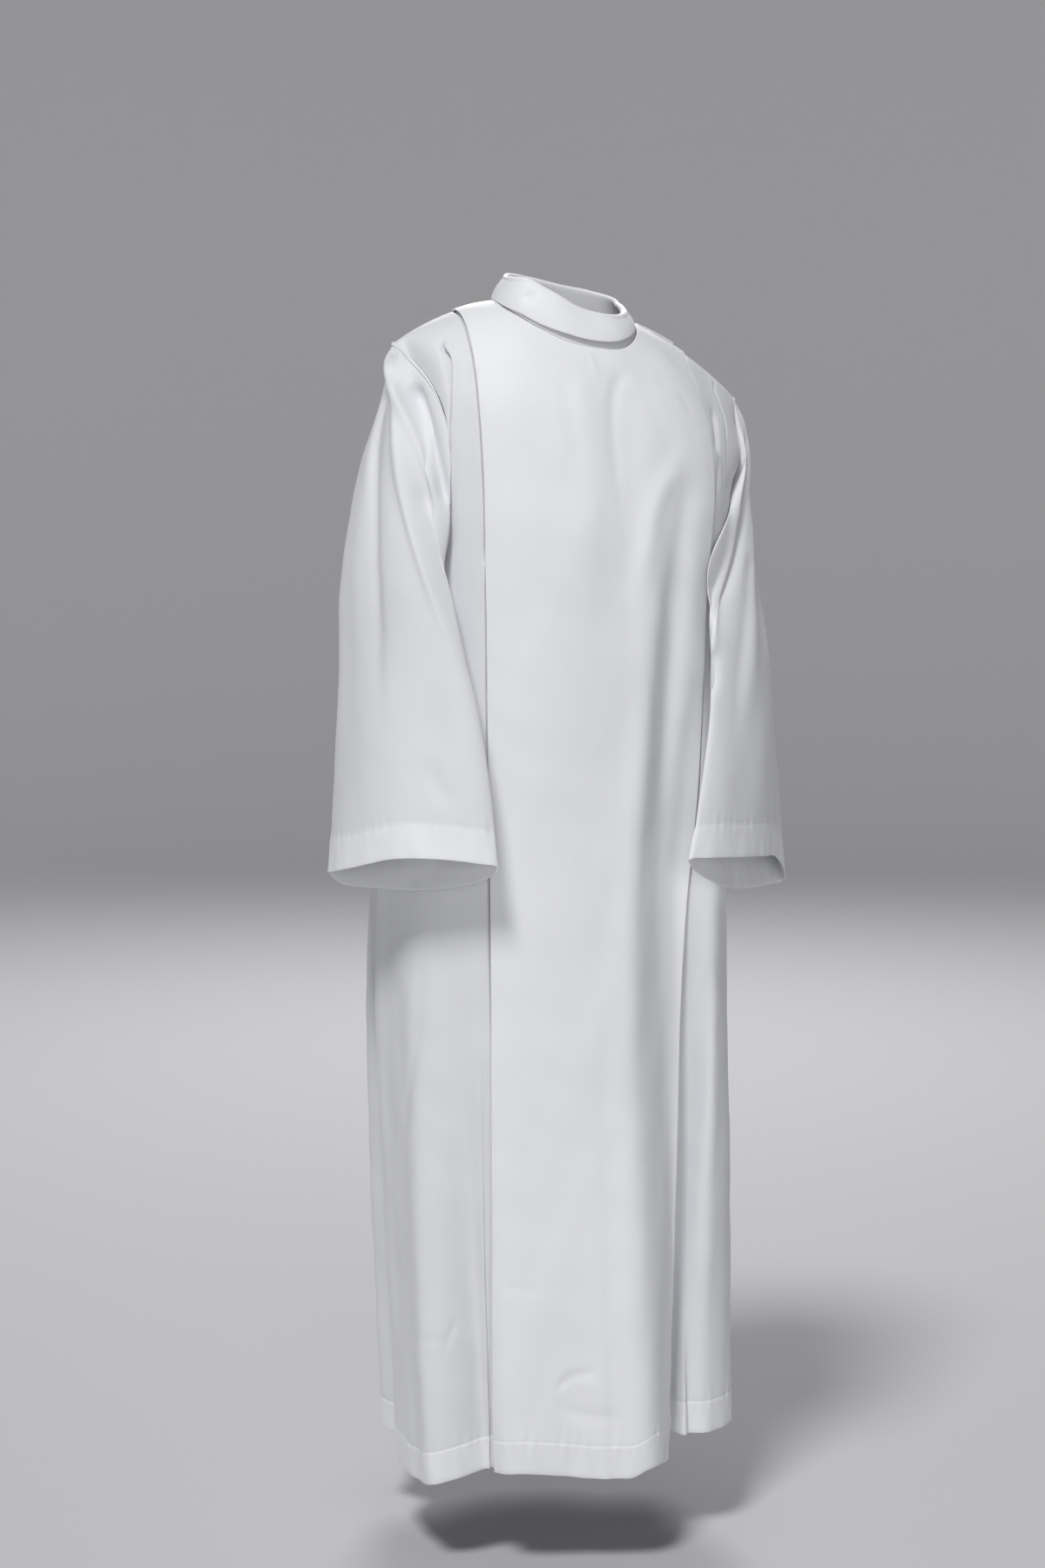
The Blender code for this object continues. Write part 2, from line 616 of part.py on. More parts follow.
def sleeve_point(rows, folds, angle, down, mirror):
    point, out = sleeve_ring(rows, angle, down)
    start, _ = sleeve_ring(rows, angle, 0.0)
    fitted = 1 - smooth(0.0, 0.25, down)
    point = point + (armhole_point(angle, mirror) - start) * fitted
    push = 0.0
    for fold in folds:
        centre = fold.angle + (fold.low_angle - fold.angle) * smooth(fold.top, fold.end, down)
        strength = smooth(fold.top, fold.full, down) * (1 - smooth(fold.fade, fold.end, down))
        push += fold.depth * strength * math.exp(-((turn(angle, centre) / fold.width) ** 2))
    outward = 1 if math.cos(math.radians(angle)) >= 0 else -1
    point[:2] += out * push * outward
    head = smooth(0.0, CAP_TOP, down) * (1 - smooth(CAP_TOP, CAP_END, down))
    point[2] += CAP_RISE * head * max(0.0, math.cos(math.radians(angle))) ** 2
    return clear_of_body(point, mirror, smooth(0.05, 0.3, down))


def clear_of_body(point, mirror, share):
    """Move a sleeve's point out to hang just clear of the body's oval."""
    x, y, z = point
    if z > UNDERARM_Z:
        return point
    centre = mirror * read(BODY, "z", "centre", z)
    half = read(BODY, "z", "half_width", z) + SLEEVE_CLEAR * share
    deep = read(BODY, "z", "front" if y < 0 else "back", z) + SLEEVE_CLEAR * share
    square = read(BODY, "z", "square", z)
    size = (abs((x - centre) / half) ** square + abs(y / deep) ** square) ** (1 / square)
    if size >= 1:
        return point
    return np.array([centre + (x - centre) / size, y / size, z])


def sleeve_grid(rows, folds, mirror):
    """The sleeve as rings of points from the armhole to the cuff; mirror is -1 on the right."""
    grid = []
    for i in range(SLEEVE_ROWS + 1):
        down = (i / SLEEVE_ROWS) ** 1.15
        ring = []
        for j in range(RING_POINTS):
            angle = 360 * j / RING_POINTS
            point = sleeve_point(rows, folds, angle, down, mirror)
            ring.append(np.array([mirror * point[0], point[1], point[2]]))
        grid.append(ring if mirror < 0 else ring[::-1])
    return grid


def neck_point(angle, lift):
    """The neckline's edge: angle 0 is the front, 90 the wearer's left and 180 the back."""
    x = NECK_HALF * math.sin(math.radians(angle)) * 0.99999
    side = -1 if math.cos(math.radians(angle)) >= 0 else 1
    return upper_point(x, min(neck_rise(x, side), 1 - 1e-6), side, lift)


def collar_profile(angle):
    """From the fall's lower edge, up over the rolled top and down inside to the neckline."""
    foot = neck_point(angle, LIFT + 3 * SEAM_GAP)
    centre = np.array([0.0, (NECK_BACK - NECK_FRONT) / 2, 0.0])
    out = foot - centre
    out[2] = 0
    out = unit(out)
    up = np.array([0.0, 0.0, 1.0])
    rim, lean, drop, spread = (
        read(COLLAR, "angle", column, turn(angle, 0)) for column in CollarRow._fields[1:]
    )
    inside = foot - out * (lean + COLLAR_CLOTH)
    inside[2] = rim
    roll = inside + out * COLLAR_ROLL - up * COLLAR_ROLL
    top = [
        roll + COLLAR_ROLL * (out * math.cos(a) + up * math.sin(a))
        for a in np.radians([0, 30, 60, 90, 120, 150, 180])
    ]
    low = top[0] + out * spread - up * (drop - COLLAR_ROLL)
    fall = [
        low + (top[0] - low) * s + out * FALL_BULGE * math.sin(math.pi * s)
        for s in (0, 0.25, 0.5, 0.75)
    ]
    bottom = foot - out * COLLAR_CLOTH + up * 2 * SEAM_GAP
    stand = [top[-1] + (bottom - top[-1]) * s for s in (0.33, 0.67, 1.0)]
    return fall + top + stand


def collar_grid():
    profiles = [collar_profile(360 * j / COLLAR_POINTS) for j in range(COLLAR_POINTS)]
    return [[profile[i] for profile in profiles] for i in range(len(profiles[0]) - 1, -1, -1)]


def placket_grid():
    """The strip over the shoulder opening, laid along the shoulder seam."""
    grid = []
    for y in np.linspace(PLACKET_HALF_WIDTH, -PLACKET_HALF_WIDTH, 7):
        row = []
        for x in np.linspace(PLACKET_START, PLACKET_END, 5):
            side = 1 if y > 0 else -1
            deep = BODY[0].back if side > 0 else BODY[0].front
            square = BODY[0].square
            flat = (1 - (x / UNDERARM_HALF) ** square) ** (1 / square)
            arch = min(1.0, abs(y) / (deep * flat))
            rise = min(1 - 1e-6, (1 - arch**DOME) ** (1 / DOME))
            lift = LIFT + PLACKET_CLOTH + 2 * SEAM_GAP
            row.append(upper_point(x, rise, side, lift))
        grid.append(row)
    return grid


def build():
    for thing in list(bpy.data.objects):
        bpy.data.objects.remove(thing, do_unlink=True)
    wall("front_centre", centre_panel_grid(), CLOTH, side=-1)
    wall("front_side_right", side_grid(-1), CLOTH, side=-1)
    wall("front_side_left", side_grid(1), CLOTH, side=-1)
    wall("back", back_grid(), CLOTH, side=1)
    wall("sleeve_right", sleeve_grid(RIGHT_SLEEVE, RIGHT_SLEEVE_FOLDS, -1), CLOTH, wrap=True)
    wall("sleeve_left", sleeve_grid(LEFT_SLEEVE, LEFT_SLEEVE_FOLDS, 1), CLOTH, wrap=True)
    wall("collar", collar_grid(), COLLAR_CLOTH, wrap=True)
    wall("shoulder_placket", placket_grid(), PLACKET_CLOTH)


build()
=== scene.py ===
"""The look of an alb robe in its worn form: fine cloth shells, sewing and materials.

Metres, +Z up. The front faces -Y and the wearer's right side is at -X. Each shell follows the
form of its solid, from the same tables of rings and folds, with finer creases laid on it.
"""

import math
from collections import namedtuple

import bpy
import numpy as np
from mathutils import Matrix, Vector
from mathutils.bvhtree import BVHTree


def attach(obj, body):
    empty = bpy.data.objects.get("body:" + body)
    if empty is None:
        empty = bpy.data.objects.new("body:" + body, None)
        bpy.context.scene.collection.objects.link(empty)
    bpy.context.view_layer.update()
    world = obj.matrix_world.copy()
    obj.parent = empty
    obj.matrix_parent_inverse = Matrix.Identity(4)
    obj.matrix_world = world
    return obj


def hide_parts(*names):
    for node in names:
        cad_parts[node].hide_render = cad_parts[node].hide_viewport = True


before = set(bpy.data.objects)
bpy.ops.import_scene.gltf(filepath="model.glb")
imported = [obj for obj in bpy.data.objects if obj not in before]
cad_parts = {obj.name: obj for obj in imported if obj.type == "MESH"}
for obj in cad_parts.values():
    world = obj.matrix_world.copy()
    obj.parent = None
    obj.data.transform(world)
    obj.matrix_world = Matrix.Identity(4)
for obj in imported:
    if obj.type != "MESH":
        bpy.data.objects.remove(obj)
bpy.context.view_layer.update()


def table(columns, *rows, defaults=None):
    """Rows with a name for each column, one for each section, fold or place."""
    row = namedtuple("row", columns, defaults=defaults)
    return [row(*values) for values in rows]


# ---- cloth and seams ----
CLOTH = 0.0009  # wall of the shells
COLLAR_CLOTH = 0.0018
PLACKET_CLOTH = 0.0020
SOLID_CLOTH = 0.0014
SEAM_GAP = 0.0003
PLEAT_RADIUS = 0.0010
PLEAT_GAP = 0.0005
LIFT = 2 * PLEAT_RADIUS + PLEAT_GAP  # the centre panel lies this far in front of the rest
LIFT_LOW = 0.0026  # and this much more at the hem
BACK_LIFT_EASE = 0.012  # the back rises to meet it at the shoulder within this breadth
BACK_LIFT_FROM = 0.4  # and from this share of the back's height
UNDERLAP = 0.018
SIDE_SINK = SOLID_CLOTH + 2 * SEAM_GAP
SIDE_SINKS = (78, 86)  # degrees from the middle of the back between which it sinks in there
SIDE_LAP = 4.0  # and degrees by which it runs in behind the front

# ---- heights and breadths of the body ----
UNDERARM_Z = -0.270
HEM_Z = -1.380
TOP_Z = 0.0735
SHOULDER_DROP = 1.64
UNDERARM_HALF = 0.205
SHOULDER_HALF = 0.228
DOME = 2.05  # power of the curve from the chest over the shoulders to the back
Armhole = namedtuple("Armhole", "cut gap")  # how far it curves in, and the sleeve's gap to it
ARMHOLES = {-1: Armhole(0.115, 0.0010), 1: Armhole(0.020, 0.0004)}
NECK_HALF = 0.0880
NECK_FRONT = 0.104
NECK_BACK = 0.055
NECK_SQUARE = 2.6
PANEL_HALF = 0.150

# One row for each ring below the underarm; square is 2 for an oval and more for a squarer ring.
BODY = table(
    "z half_width front back centre square panel_right panel_left",
    (-0.27, 0.205, 0.172, 0.135, 0, 2.6, -0.15, 0.15),
    (-0.48, 0.214, 0.172, 0.15, -0.012, 2.5, -0.15, 0.142),
    (-0.7, 0.225, 0.176, 0.172, -0.025, 2.55, -0.151, 0.12),
    (-1.05, 0.221, 0.186, 0.19, -0.022, 2.8, -0.152, 0.09),
    (-1.38, 0.21, 0.196, 0.2, -0.016, 3, -0.152, 0.067),
)
SQUARE = BODY[0].square  # the chest and back keep the underarm's ring
DEEP = {-1: BODY[0].front, 1: BODY[0].back}

# The hem hangs lower at the right front corner: metres up from HEM_Z by ring angle.
HEM_EASE_Z = -0.90
HEM = table(
    "angle rise",
    (-180, 0), (-120, -0.004), (-90, -0.018), (-76, -0.02), (-62, -0.015), (-50, -0.005),
    (-42, 0.001), (-31, 0.005), (-20, 0.008), (-8, 0.004), (2, -0.001), (4.6, 0.008), (7.8, 0.008),
    (10, 0.003), (12.5, 0.003), (16, 0.016), (18, 0.023), (20, 0.026), (23, 0.021), (27, 0.019),
    (34, 0.018), (45, 0.017), (78, 0.016), (130, 0.006), (180, 0),
)

# Soft folds of the body. The angle is 0 at the front and grows towards the wearer's left; a fold
# swings from angle to low_angle, grows from top to full and fades from fade to end.
FOLD = "name angle low_angle width depth top full fade end"
BODY_FOLDS = table(
    FOLD,
    ("centre_ridge", 3, 9, 13, 0.014, -0.55, -1.25),
    ("right_pleat_hollow", -40, -39, 9, -0.03, -0.6, -1.38),
    ("right_front_ridge", -62, -60, 9, 0.02, -0.55, -1.38),
    ("left_pleat_hollow", 38, 42, 12, -0.052, -0.5, -1.3),
    ("left_front_ridge", 72, 74, 9, 0.008, -0.6, -1.38),
    ("right_side_hollow", -102, -100, 8, -0.014, -0.55, -1.2),
    ("back_right_ridge", -138, -135, 10, 0.012, -0.6, -1.38),
    ("back_right_hollow", -157, -154, 9, -0.018, -0.5, -1.38),
    ("back_ridge", 178, 181, 10, 0.014, -0.45, -1.3),
    ("back_left_hollow", 153, 151, 9, -0.016, -0.55, -1.38),
    ("back_left_ridge", 129, 126, 10, 0.017, -0.65, -1.38),
    ("left_side_hollow", 103, 100, 8, -0.012, -0.6, -1.2),
    ("right_armhole_hollow", -70, -76, 7, -0.024, 0.05, -0.02, -0.18, -0.34),
    ("right_armhole_ridge", -54, -62, 6, 0.005, 0.03, -0.06, -0.24, -0.42),
    ("left_armhole_hollow", 76, 80, 7, -0.013, 0, -0.08, -0.18, -0.34),
    ("chest_trough", 2.5, 2, 5, -0.005, 0.02, -0.06, -0.2, -0.48),
    ("chest_ridge", -2, -1, 6, 0.003, 0.02, -0.05, -0.15, -0.35),
    ("right_seam_edge", -90, -90, 4, 0.006, -0.45, -0.85),
    ("right_seam_valley", -97, -97, 4, -0.011, -0.45, -0.85),
    ("right_back_edge", -108, -108, 6, 0.01, -0.5, -0.9),
    ("left_seam_edge", 90, 90, 4, 0.004, -0.45, -0.85),
    ("left_seam_valley", 97, 97, 4, -0.008, -0.45, -0.85),
    ("centre_crest", 11, 4, 4, 0.005, -0.15, -0.5),
    ("beside_crest", 22, 16, 8, -0.02, -0.12, -0.45),
    ("beside_seam", 36, 20, 10, -0.03, -0.25, -0.7),
    ("left_fill", 42, 45, 8, 0.022, -0.5, -1.2),
    ("left_infill", 34, 35, 9, -0.008, -0.6, -1.3),
    ("hem_crest", 5, 4, 5, 0.01, -0.9, -1.38),
    ("hem_corner", -74, -78, 8, 0.008, -1, -1.38),
    defaults=(-2.0, -2.2),  # these never fade
)

# ---- sleeves: one row for each ring, outward is +X in both tables ----
# front and back are the ring's two edges, outer and inner the swell of its walls between them.
SLEEVE_ROW = "down outer_z inner_z front_x front_y back_x back_y outer inner"
SLEEVES = {
    -1: table(
        SLEEVE_ROW,
        (0, -0.012, -0.27, 0.195, -0.071, 0.195, 0.056, 0.033, -0.01),
        (0.25, -0.15, -0.345, 0.206, -0.105, 0.242, 0.06, 0.038, 0),
        (0.45, -0.27, -0.43, 0.19, -0.15, 0.274, 0.048, 0.048, 0.006),
        (0.62, -0.38, -0.5, 0.174, -0.178, 0.284, 0.034, 0.054, 0.008),
        (0.8, -0.49, -0.575, 0.165, -0.2, 0.3, 0.014, 0.06, 0.008),
        (1, -0.609, -0.658, 0.16, -0.216, 0.318, -0.016, 0.06, 0.006),
    ),
    1: table(
        SLEEVE_ROW,
        (0, -0.012, -0.27, 0.195, -0.071, 0.195, 0.056, 0.033, -0.01),
        (0.25, -0.15, -0.345, 0.196, -0.112, 0.23, 0.058, 0.018, 0),
        (0.45, -0.265, -0.42, 0.144, -0.164, 0.26, 0.038, 0.032, 0.006),
        (0.62, -0.375, -0.495, 0.126, -0.188, 0.273, 0.018, 0.04, 0.006),
        (0.8, -0.49, -0.575, 0.103, -0.21, 0.28, -0.006, 0.042, 0.006),
        (1, -0.609, -0.658, 0.079, -0.228, 0.288, -0.03, 0.036, 0.004),
    ),
}
# How far each cuff edge hangs above or below its ring, by ring angle.
CUFFS = {
    -1: table(
        "angle rise",
        (0, -0.0034), (12, -0.0016), (60, -0.001), (84, 0.0034), (180, 0.0042), (204, 0.0062),
        (240, 0.0024), (264, 0.0052), (288, -0.002), (312, -0.0086), (330, -0.0098), (348, -0.0071),
        (360, -0.0034),
    ),
    1: table(
        "angle rise",
        (0, -0.012), (30, -0.009), (60, -0.001), (82, 0.0065), (110, 0.007), (160, -0.004),
        (200, -0.009), (230, -0.013), (260, -0.022), (290, -0.032), (305, -0.033), (322, -0.02),
        (336, -0.011), (360, -0.012),
    ),
}
CUFF_RISE_TOP = 0.55

# The front edge of each sleeve laps over the side panel below the armhole, by this much.
LAPS = {
    -1: table(
        "down x y",
        (0, 0, 0), (0.06, -0.004, -0.004), (0.12, -0.009, -0.01), (0.21, -0.015, -0.012),
        (0.33, -0.003, -0.004), (0.45, 0, 0), (1, 0, 0),
    ),
    1: table(
        "down x y",
        (0, 0, 0), (0.04, -0.006, -0.006), (0.08, -0.018, -0.016), (0.16, -0.036, -0.025),
        (0.25, -0.052, -0.022), (0.35, -0.024, -0.01), (0.45, 0, 0), (1, 0, 0),
    ),
}
LAP_ANGLE = 92
LAP_TURN = {-1: 0, 1: 22}  # how much lower round the armhole it starts
LAP_TURN_END = 0.2
LAP_OUTER = 34
LAP_INNER = 45
LAP_END = (75, 60)  # degrees from it where keeping the edge in front sets in and is full
LAP_GAP = 0.003
LAP_EASE = 0.012
CLEAR_EASE = 0.03
CUFF_LENS = 0.70  # 0.5 is an ellipse, 1 a lens with two sharp edges
LENS_GROWS = (0.1, 0.6)  # from here to there along the sleeve
CUFF_TILT = 0.011  # the cuff's front edge is held this much up and its back edge down
TILT_FROM = 0.3  # growing from here along the sleeve
SLEEVE_CLEAR = 0.012  # the sleeves hang this clear of the body
CLEAR_GROWS = (0.05, 0.3)  # from here to there along the sleeve
CAP_RISE = 0.006  # the sleeve head stands up over the shoulder point
CAP_TOP = 0.03  # where along the sleeve it stands highest
CAP_END = 0.16
FITTED_END = 0.25  # down to here the sleeve still takes something of the armhole's form

# Folds that run down a sleeve. The angle is 0 on the outer line, 90 at the front edge and 180
# at the inner seam; down is 0 at the armhole and 1 at the cuff.
SLEEVE_FOLDS = {
    -1: table(
        FOLD,
        ("front_ridge", 28, 62, 10, 0.008, 0.02, 0.15, 0.4, 0.62),
        ("front_trough", 48, 76, 9, -0.01, 0.02, 0.15, 0.38, 0.55),
        ("outer_trough", 358, 352, 12, -0.007, 0.02, 0.2, 0.45, 0.8),
        ("back_ridge", 318, 310, 12, 0.006, 0.05, 0.25, 0.6, 0.9),
        ("cuff_hollow", 40, 44, 22, -0.006, 0.55, 0.8, 0.95, 1.2),
        ("inner_trough", 205, 200, 14, -0.006, 0.1, 0.3, 0.6, 0.9),
    ),
    1: table(
        FOLD,
        ("cap_fullness", 0, 0, 40, 0.012, 0, 0.07, 0.1, 0.24),
        ("front_trough", 30, 58, 9, -0.009, 0.02, 0.15, 0.35, 0.6),
        ("front_ridge", 8, 30, 11, 0.007, 0.04, 0.18, 0.5, 0.8),
        ("back_trough", 322, 312, 12, -0.007, 0.04, 0.22, 0.5, 0.85),
        ("cuff_hollow", 330, 336, 20, -0.005, 0.5, 0.8, 0.95, 1.2),
        ("inner_trough", 203, 198, 14, -0.006, 0.1, 0.3, 0.6, 0.9),
    ),
}

# ---- collar: a stand turned over into a fall, with a row for each section around the neck ----
# The angle is 0 at the front and grows towards the wearer's left. The rim is the height of the
# rolled top before the pose, lean how far it leans in, drop the height of the fall and spread
# how far the fall stands out at its lower edge.
COLLAR = table(
    "angle rim lean drop spread",
    (-180, 0.104, 0.008, 0.036, 0.009), (-135, 0.103, 0.012, 0.035, 0.012),
    (-90, 0.095, 0.018, 0.031, 0.016), (-62, 0.0915, 0.02, 0.044, 0.016),
    (-40, 0.0745, 0.021, 0.046, 0.016), (-18, 0.06, 0.021, 0.04, 0.017),
    (0, 0.0545, 0.021, 0.037, 0.017), (20, 0.0535, 0.02, 0.032, 0.015),
    (40, 0.0575, 0.02, 0.025, 0.012), (64, 0.067, 0.019, 0.018, 0.009),
    (90, 0.085, 0.018, 0.024, 0.008), (118, 0.098, 0.014, 0.03, 0.009),
    (150, 0.1035, 0.01, 0.035, 0.009), (180, 0.104, 0.008, 0.036, 0.009),
)
FALL_BULGE = 0.002
COLLAR_ROLL = 0.0046
ROLL_STEPS = 12
FALL_STEPS = 18
STAND_STEPS = 10

# ---- shoulder placket, on the wearer's left ----
PLACKET_START = 0.0935
PLACKET_END = 0.1380
PLACKET_HALF_WIDTH = 0.013
PLACKET_ROWS = 28
PLACKET_COLUMNS = 40

# ---- the pose: the wearer's right shoulder is held higher ----
POSE_SLOPE = 0.13
POSE_FULL_Z = -0.05
POSE_NONE_Z = -0.70
NECK_TILT = 0.030  # the neck and the inner shoulders lean this much more
NECK_TILT_NONE_Z = -0.16

# The neckline and the collar's foot sit off the even oval: metres moved by neck angle.
NECK = table(
    "angle x y z",
    (-180, 0, 0, 0), (-120, -0.001, 0, 0), (-96, -0.005, 0, -0.002), (-80, -0.01, -0.004, -0.006),
    (-64, -0.012, -0.008, -0.009), (-48, -0.008, -0.006, -0.006), (-34, -0.002, -0.002, -0.002),
    (-16, 0, 0, 0), (12, 0, 0.001, 0.002), (30, -0.003, 0.003, 0.003), (50, -0.007, 0.003, 0.003),
    (70, -0.008, 0.001, 0.001), (90, -0.006, 0, 0), (120, -0.002, 0, 0), (180, 0, 0, 0),
)
# The seam on the wearer's left wanders off its even line: metres moved in x by height.
DRIFT = table(
    "z x",
    (0.06, -0.008), (-0.03, -0.006), (-0.07, 0), (-0.12, 0), (-0.16, -0.003), (-0.2, -0.008),
    (-0.25, -0.012), (-0.3, -0.014), (-0.48, -0.005), (-0.63, 0.006), (-0.875, 0.0196),
    (-1.055, 0.0205), (-1.38, 0.015),
)
# The armhole's front edge on that side bows out at the chest.
BOW = table(
    "z x",
    (-0.015, 0), (-0.045, 0.005), (-0.065, 0.011), (-0.085, 0.0145), (-0.105, 0.011),
    (-0.125, 0.004), (-0.145, 0),
)
BOW_WIDTH = 0.015
BOW_DEPTH = 0.02
DRIFT_WIDTH = 0.05
DRIFT_DEPTH = 0.06
NECK_REACH = 1.75  # times the neck's size, where the move ends
NECK_LOW_Z = -0.08
NECK_FULL_Z = -0.01


# ---- creases laid on the shells ----
# Each is a soft trough (depth below 0) or ridge along a short path. Start and finish are the shares
# of the path over which it fades, 0.3 where none is given, and step raises one side over the other.
# A path's places are pixels of the photograph, across and down, and the camera's lines of sight
# lay it on the cloth.
TUCK = 1.6  # how far a lapping edge is drawn over, in widths
CREASES = {
    "front_centre": (
        ("chest_trough", 0.009, -0.0022, (
            (724, 423), (710, 438), (704, 461), (703, 486), (706, 522), (709, 557), (712, 600),
            (714, 660)
        ), 0.15, 0.45),
        ("chest_crest", 0.014, 0.004, (
            (792, 505), (778, 535), (762, 560), (750, 592), (744, 625), (738, 660), (733, 700),
            (729, 770)
        ), 0.3, 0.4),
        ("chest_hollow", 0.018, -0.0036, (
            (802, 535), (793, 565), (783, 605), (775, 655), (768, 705), (762, 780)
        )),
        ("chest_arc", 0.008, -0.0012, ((748, 432), (768, 443), (786, 460), (799, 485))),
        ("chest_left_soft", 0.012, -0.0012, ((655, 424), (652, 456), (660, 507), (665, 545))),
        ("neck_crease", 0.003, 0.0009, ((676, 402), (681, 416), (687, 446)), 0.2, 0.5),
        ("chest_broad", 0.04, -0.003, ((560, 480), (620, 540), (680, 600)), 0.4, 0.4),
        ("hem_arc", 0.004, -0.0022, ((690, 1576), (662, 1579), (646, 1588), (637, 1602)), 0.2, 0.4),
        ("hem_low", 0.006, -0.0012, ((637, 1608), (657, 1622), (690, 1627), (722, 1628))),
        ("hem_level", 0.004, -0.0008, ((572, 1477), (598, 1480), (625, 1482))),
    ),
    "front_side_right": (
        ("armhole_fold", 0.0026, -0.002, (
            (506, 393), (513, 399), (519, 409), (520.5, 431), (520, 464), (519, 494), (517, 532),
            (515, 570), (513, 608)
        ), 0.1, 0.15, 0.0032),
        ("armhole_valley", 0.006, -0.0035, (
            (503, 386), (510, 400), (514, 414), (516, 437), (515, 462)
        ), 0.2, 0.3),
        ("panel_soft", 0.006, -0.0009, ((535, 398), (537, 420), (536, 450))),
        ("skirt_hollow", 0.011, -0.0022, ((488, 1073), (474, 1219), (459, 1360))),
        ("low_crease", 0.004, -0.0016, ((526, 1510), (517, 1532), (508, 1555))),
        ("low_level", 0.004, -0.001, ((469, 1535), (490, 1539), (512, 1540))),
    ),
    "sleeve_right": (
        ("outer_ridge", 0.006, 0.0085, (
            (456, 402), (448, 415), (447, 431), (454, 458), (468, 485), (483, 521), (498, 558),
            (509, 597)
        ), 0.05, 0.25),
        ("front_valley", 0.0085, -0.01, (
            (474, 440), (484, 465), (495, 500), (507, 552), (512, 588)
        ), 0.12, 0.2),
        ("outer_trough", 0.007, -0.008, (
            (444, 440), (434, 476), (429, 521), (430, 589), (432, 680), (434, 760), (437, 850)
        ), 0.1, 0.4),
        ("hook", 0.004, -0.0016, ((436, 716), (441, 727), (443, 742))),
        ("dimple", 0.0065, -0.0055, ((484, 558), (489, 574), (491, 592)), 0.4, 0.4),
        ("low_diagonal", 0.009, -0.0022, ((487, 870), (500, 898), (516, 930))),
        ("cuff_soft", 0.016, -0.003, ((505, 760), (490, 880), (480, 980)), 0.3, 0.2),
    ),
    "front_side_left": (
        ("panel_edge_gape", 0.0065, -0.004, (
            (819, 462), (822, 484), (824, 502), (825, 522)
        ), 0.3, 0.15),
        ("side_fold", 0.0026, -0.0016, (
            (814, 429), (818, 444), (824, 461), (831, 482), (833, 508), (834, 542), (834, 561)
        ), 0.12, 0.12, -0.0012),
        ("side_soft", 0.005, -0.0012, ((827, 518), (824, 550), (821, 580))),
    ),
    "sleeve_left": (
        ("fold_over", 0.0045, -0.0022, (
            (860, 560), (857, 580), (852, 604), (844, 640), (834, 670), (825, 698), (811, 750)
        ), 0.15, 0.25),
        ("sleeve_band", 0.0032, -0.002, (
            (846, 463), (853, 478), (858, 502), (856, 517), (850, 538), (842, 560)
        ), 0.1, 0.2),
        ("pocket", 0.009, -0.006, ((820, 742), (820, 765), (817, 800))),
        ("outer_soft", 0.008, -0.004, (
            (864, 632), (861, 670), (857, 720), (850, 790), (840, 900)
        ), 0.1, 0.5),
        ("outer_edge", 0.006, 0.003, ((880, 760), (885, 850), (888, 943), (892, 981)), 0.4, 0.02),
    ),
    "collar": (
        ("collar_dent", 0.009, -0.003, ((602, 334), (608, 340), (614, 346)), 0.4, 0.4),
    ),
}
CREASE = "name width depth path start finish step"
CREASES = {
    node: table(CREASE, *rows, defaults=(0.3, 0.3, 0)) for node, rows in CREASES.items()
}
# The soft unevenness of all the cloth is a sum of waves.
WAVES = table("length height", (0.19, 0.0009), (0.11, 0.0005), (0.07, 0.0003), (0.04, 0.00012))
WAVE_LEAN = np.array([1, 1, 0.45])  # they are longer up the cloth than across it
SEED = 5

# ---- camera ----
PHOTO_SIZE = np.array([1200, 1800])  # pixels
CAMERA_PLACE = (-1.132, -3.300, -0.251)
CAMERA_AIM = (-0.054, 0.017, -0.538)
SENSOR_HEIGHT = 36.0
LENS = 62.5
SIGHT_REACH = (2.9, 4.0)  # the cloth lies this far from the camera
SIGHT_STEPS = 111

# ---- mesh steps of the shells ----
CHEST_ROWS = 8  # rows of the solids above and below the underarm
SKIRT_ROWS = 13
CHEST_STEPS = 76
SKIRT_STEP = 0.0058
STITCH_STEP = 0.0011  # rows beside a line of stitches
STITCH_SPAN = 0.0055
PANEL_COLUMNS = 120
PLEAT_STEPS = 7
PLEAT_RUN_STEPS = 5
SIDE_COLUMNS = 90
BACK_COLUMNS = 56
BACK_NECK_COLUMNS = 22
SLEEVE_COLUMNS = 176
SLEEVE_STEPS = 150
SEAM_SHARE = 0.022  # finer rows beside the armhole seam
SEAM_STEPS = 13
COLLAR_COLUMNS = 180
PATH_STEPS = 24
RIM = 3  # rows round the edge of a wall, between its two sides
PROBE = 0.002
PROBE_ANGLE = 0.5
NEAR_TOP = 1 - 1e-6  # just under the shoulder line, where the dome's slope is still defined
TOP = 0.999  # above this the cloth's normal has no forward part, so front and back agree
NECK_EDGE = 0.99999  # the collar's foot stays this near the neckline's two side points
NECK_ROWS = 3  # rows of the solids over which the columns' tops even out below the neckline
PANEL_CROWD = 1.25  # columns crowd towards the centre panel's edges
SIDE_CROWD = 1.5  # and towards the side panels' inner edges
SLEEVE_CROWD = 1.1  # rows crowd towards the armhole
SIDE_SEAM = 90.0  # ring angle of the side seams
SIDE_PART = 0.05  # which front and back stay clear of by this angle

# ---- hems and sewing ----
HEM_DEPTH = 0.040
CUFF_DEPTH = 0.041
BAND_PROUD = 0.0004
GROOVE = 0.0005
GROOVE_WIDTH = 0.0012
PUCKER = 0.0010
PUCKER_REACH = 0.011
PUCKER_LENGTH = 0.013
EDGE_LENGTH = 0.031
STITCH_LENGTH = 0.0024
STITCH_GAP = 0.0010
THREAD = 0.00022  # its radius
THREAD_SIDES = 6
STITCH_SHAPE = np.array(  # places along one stitch, their height and the thread's swell there
    [(0, -1.2, 0.5), (0.18, 0.1, 1), (0.5, 0.6, 1), (0.82, 0.1, 1), (1, -1.2, 0.5)]
)
SHARP_ANGLE = math.radians(60)

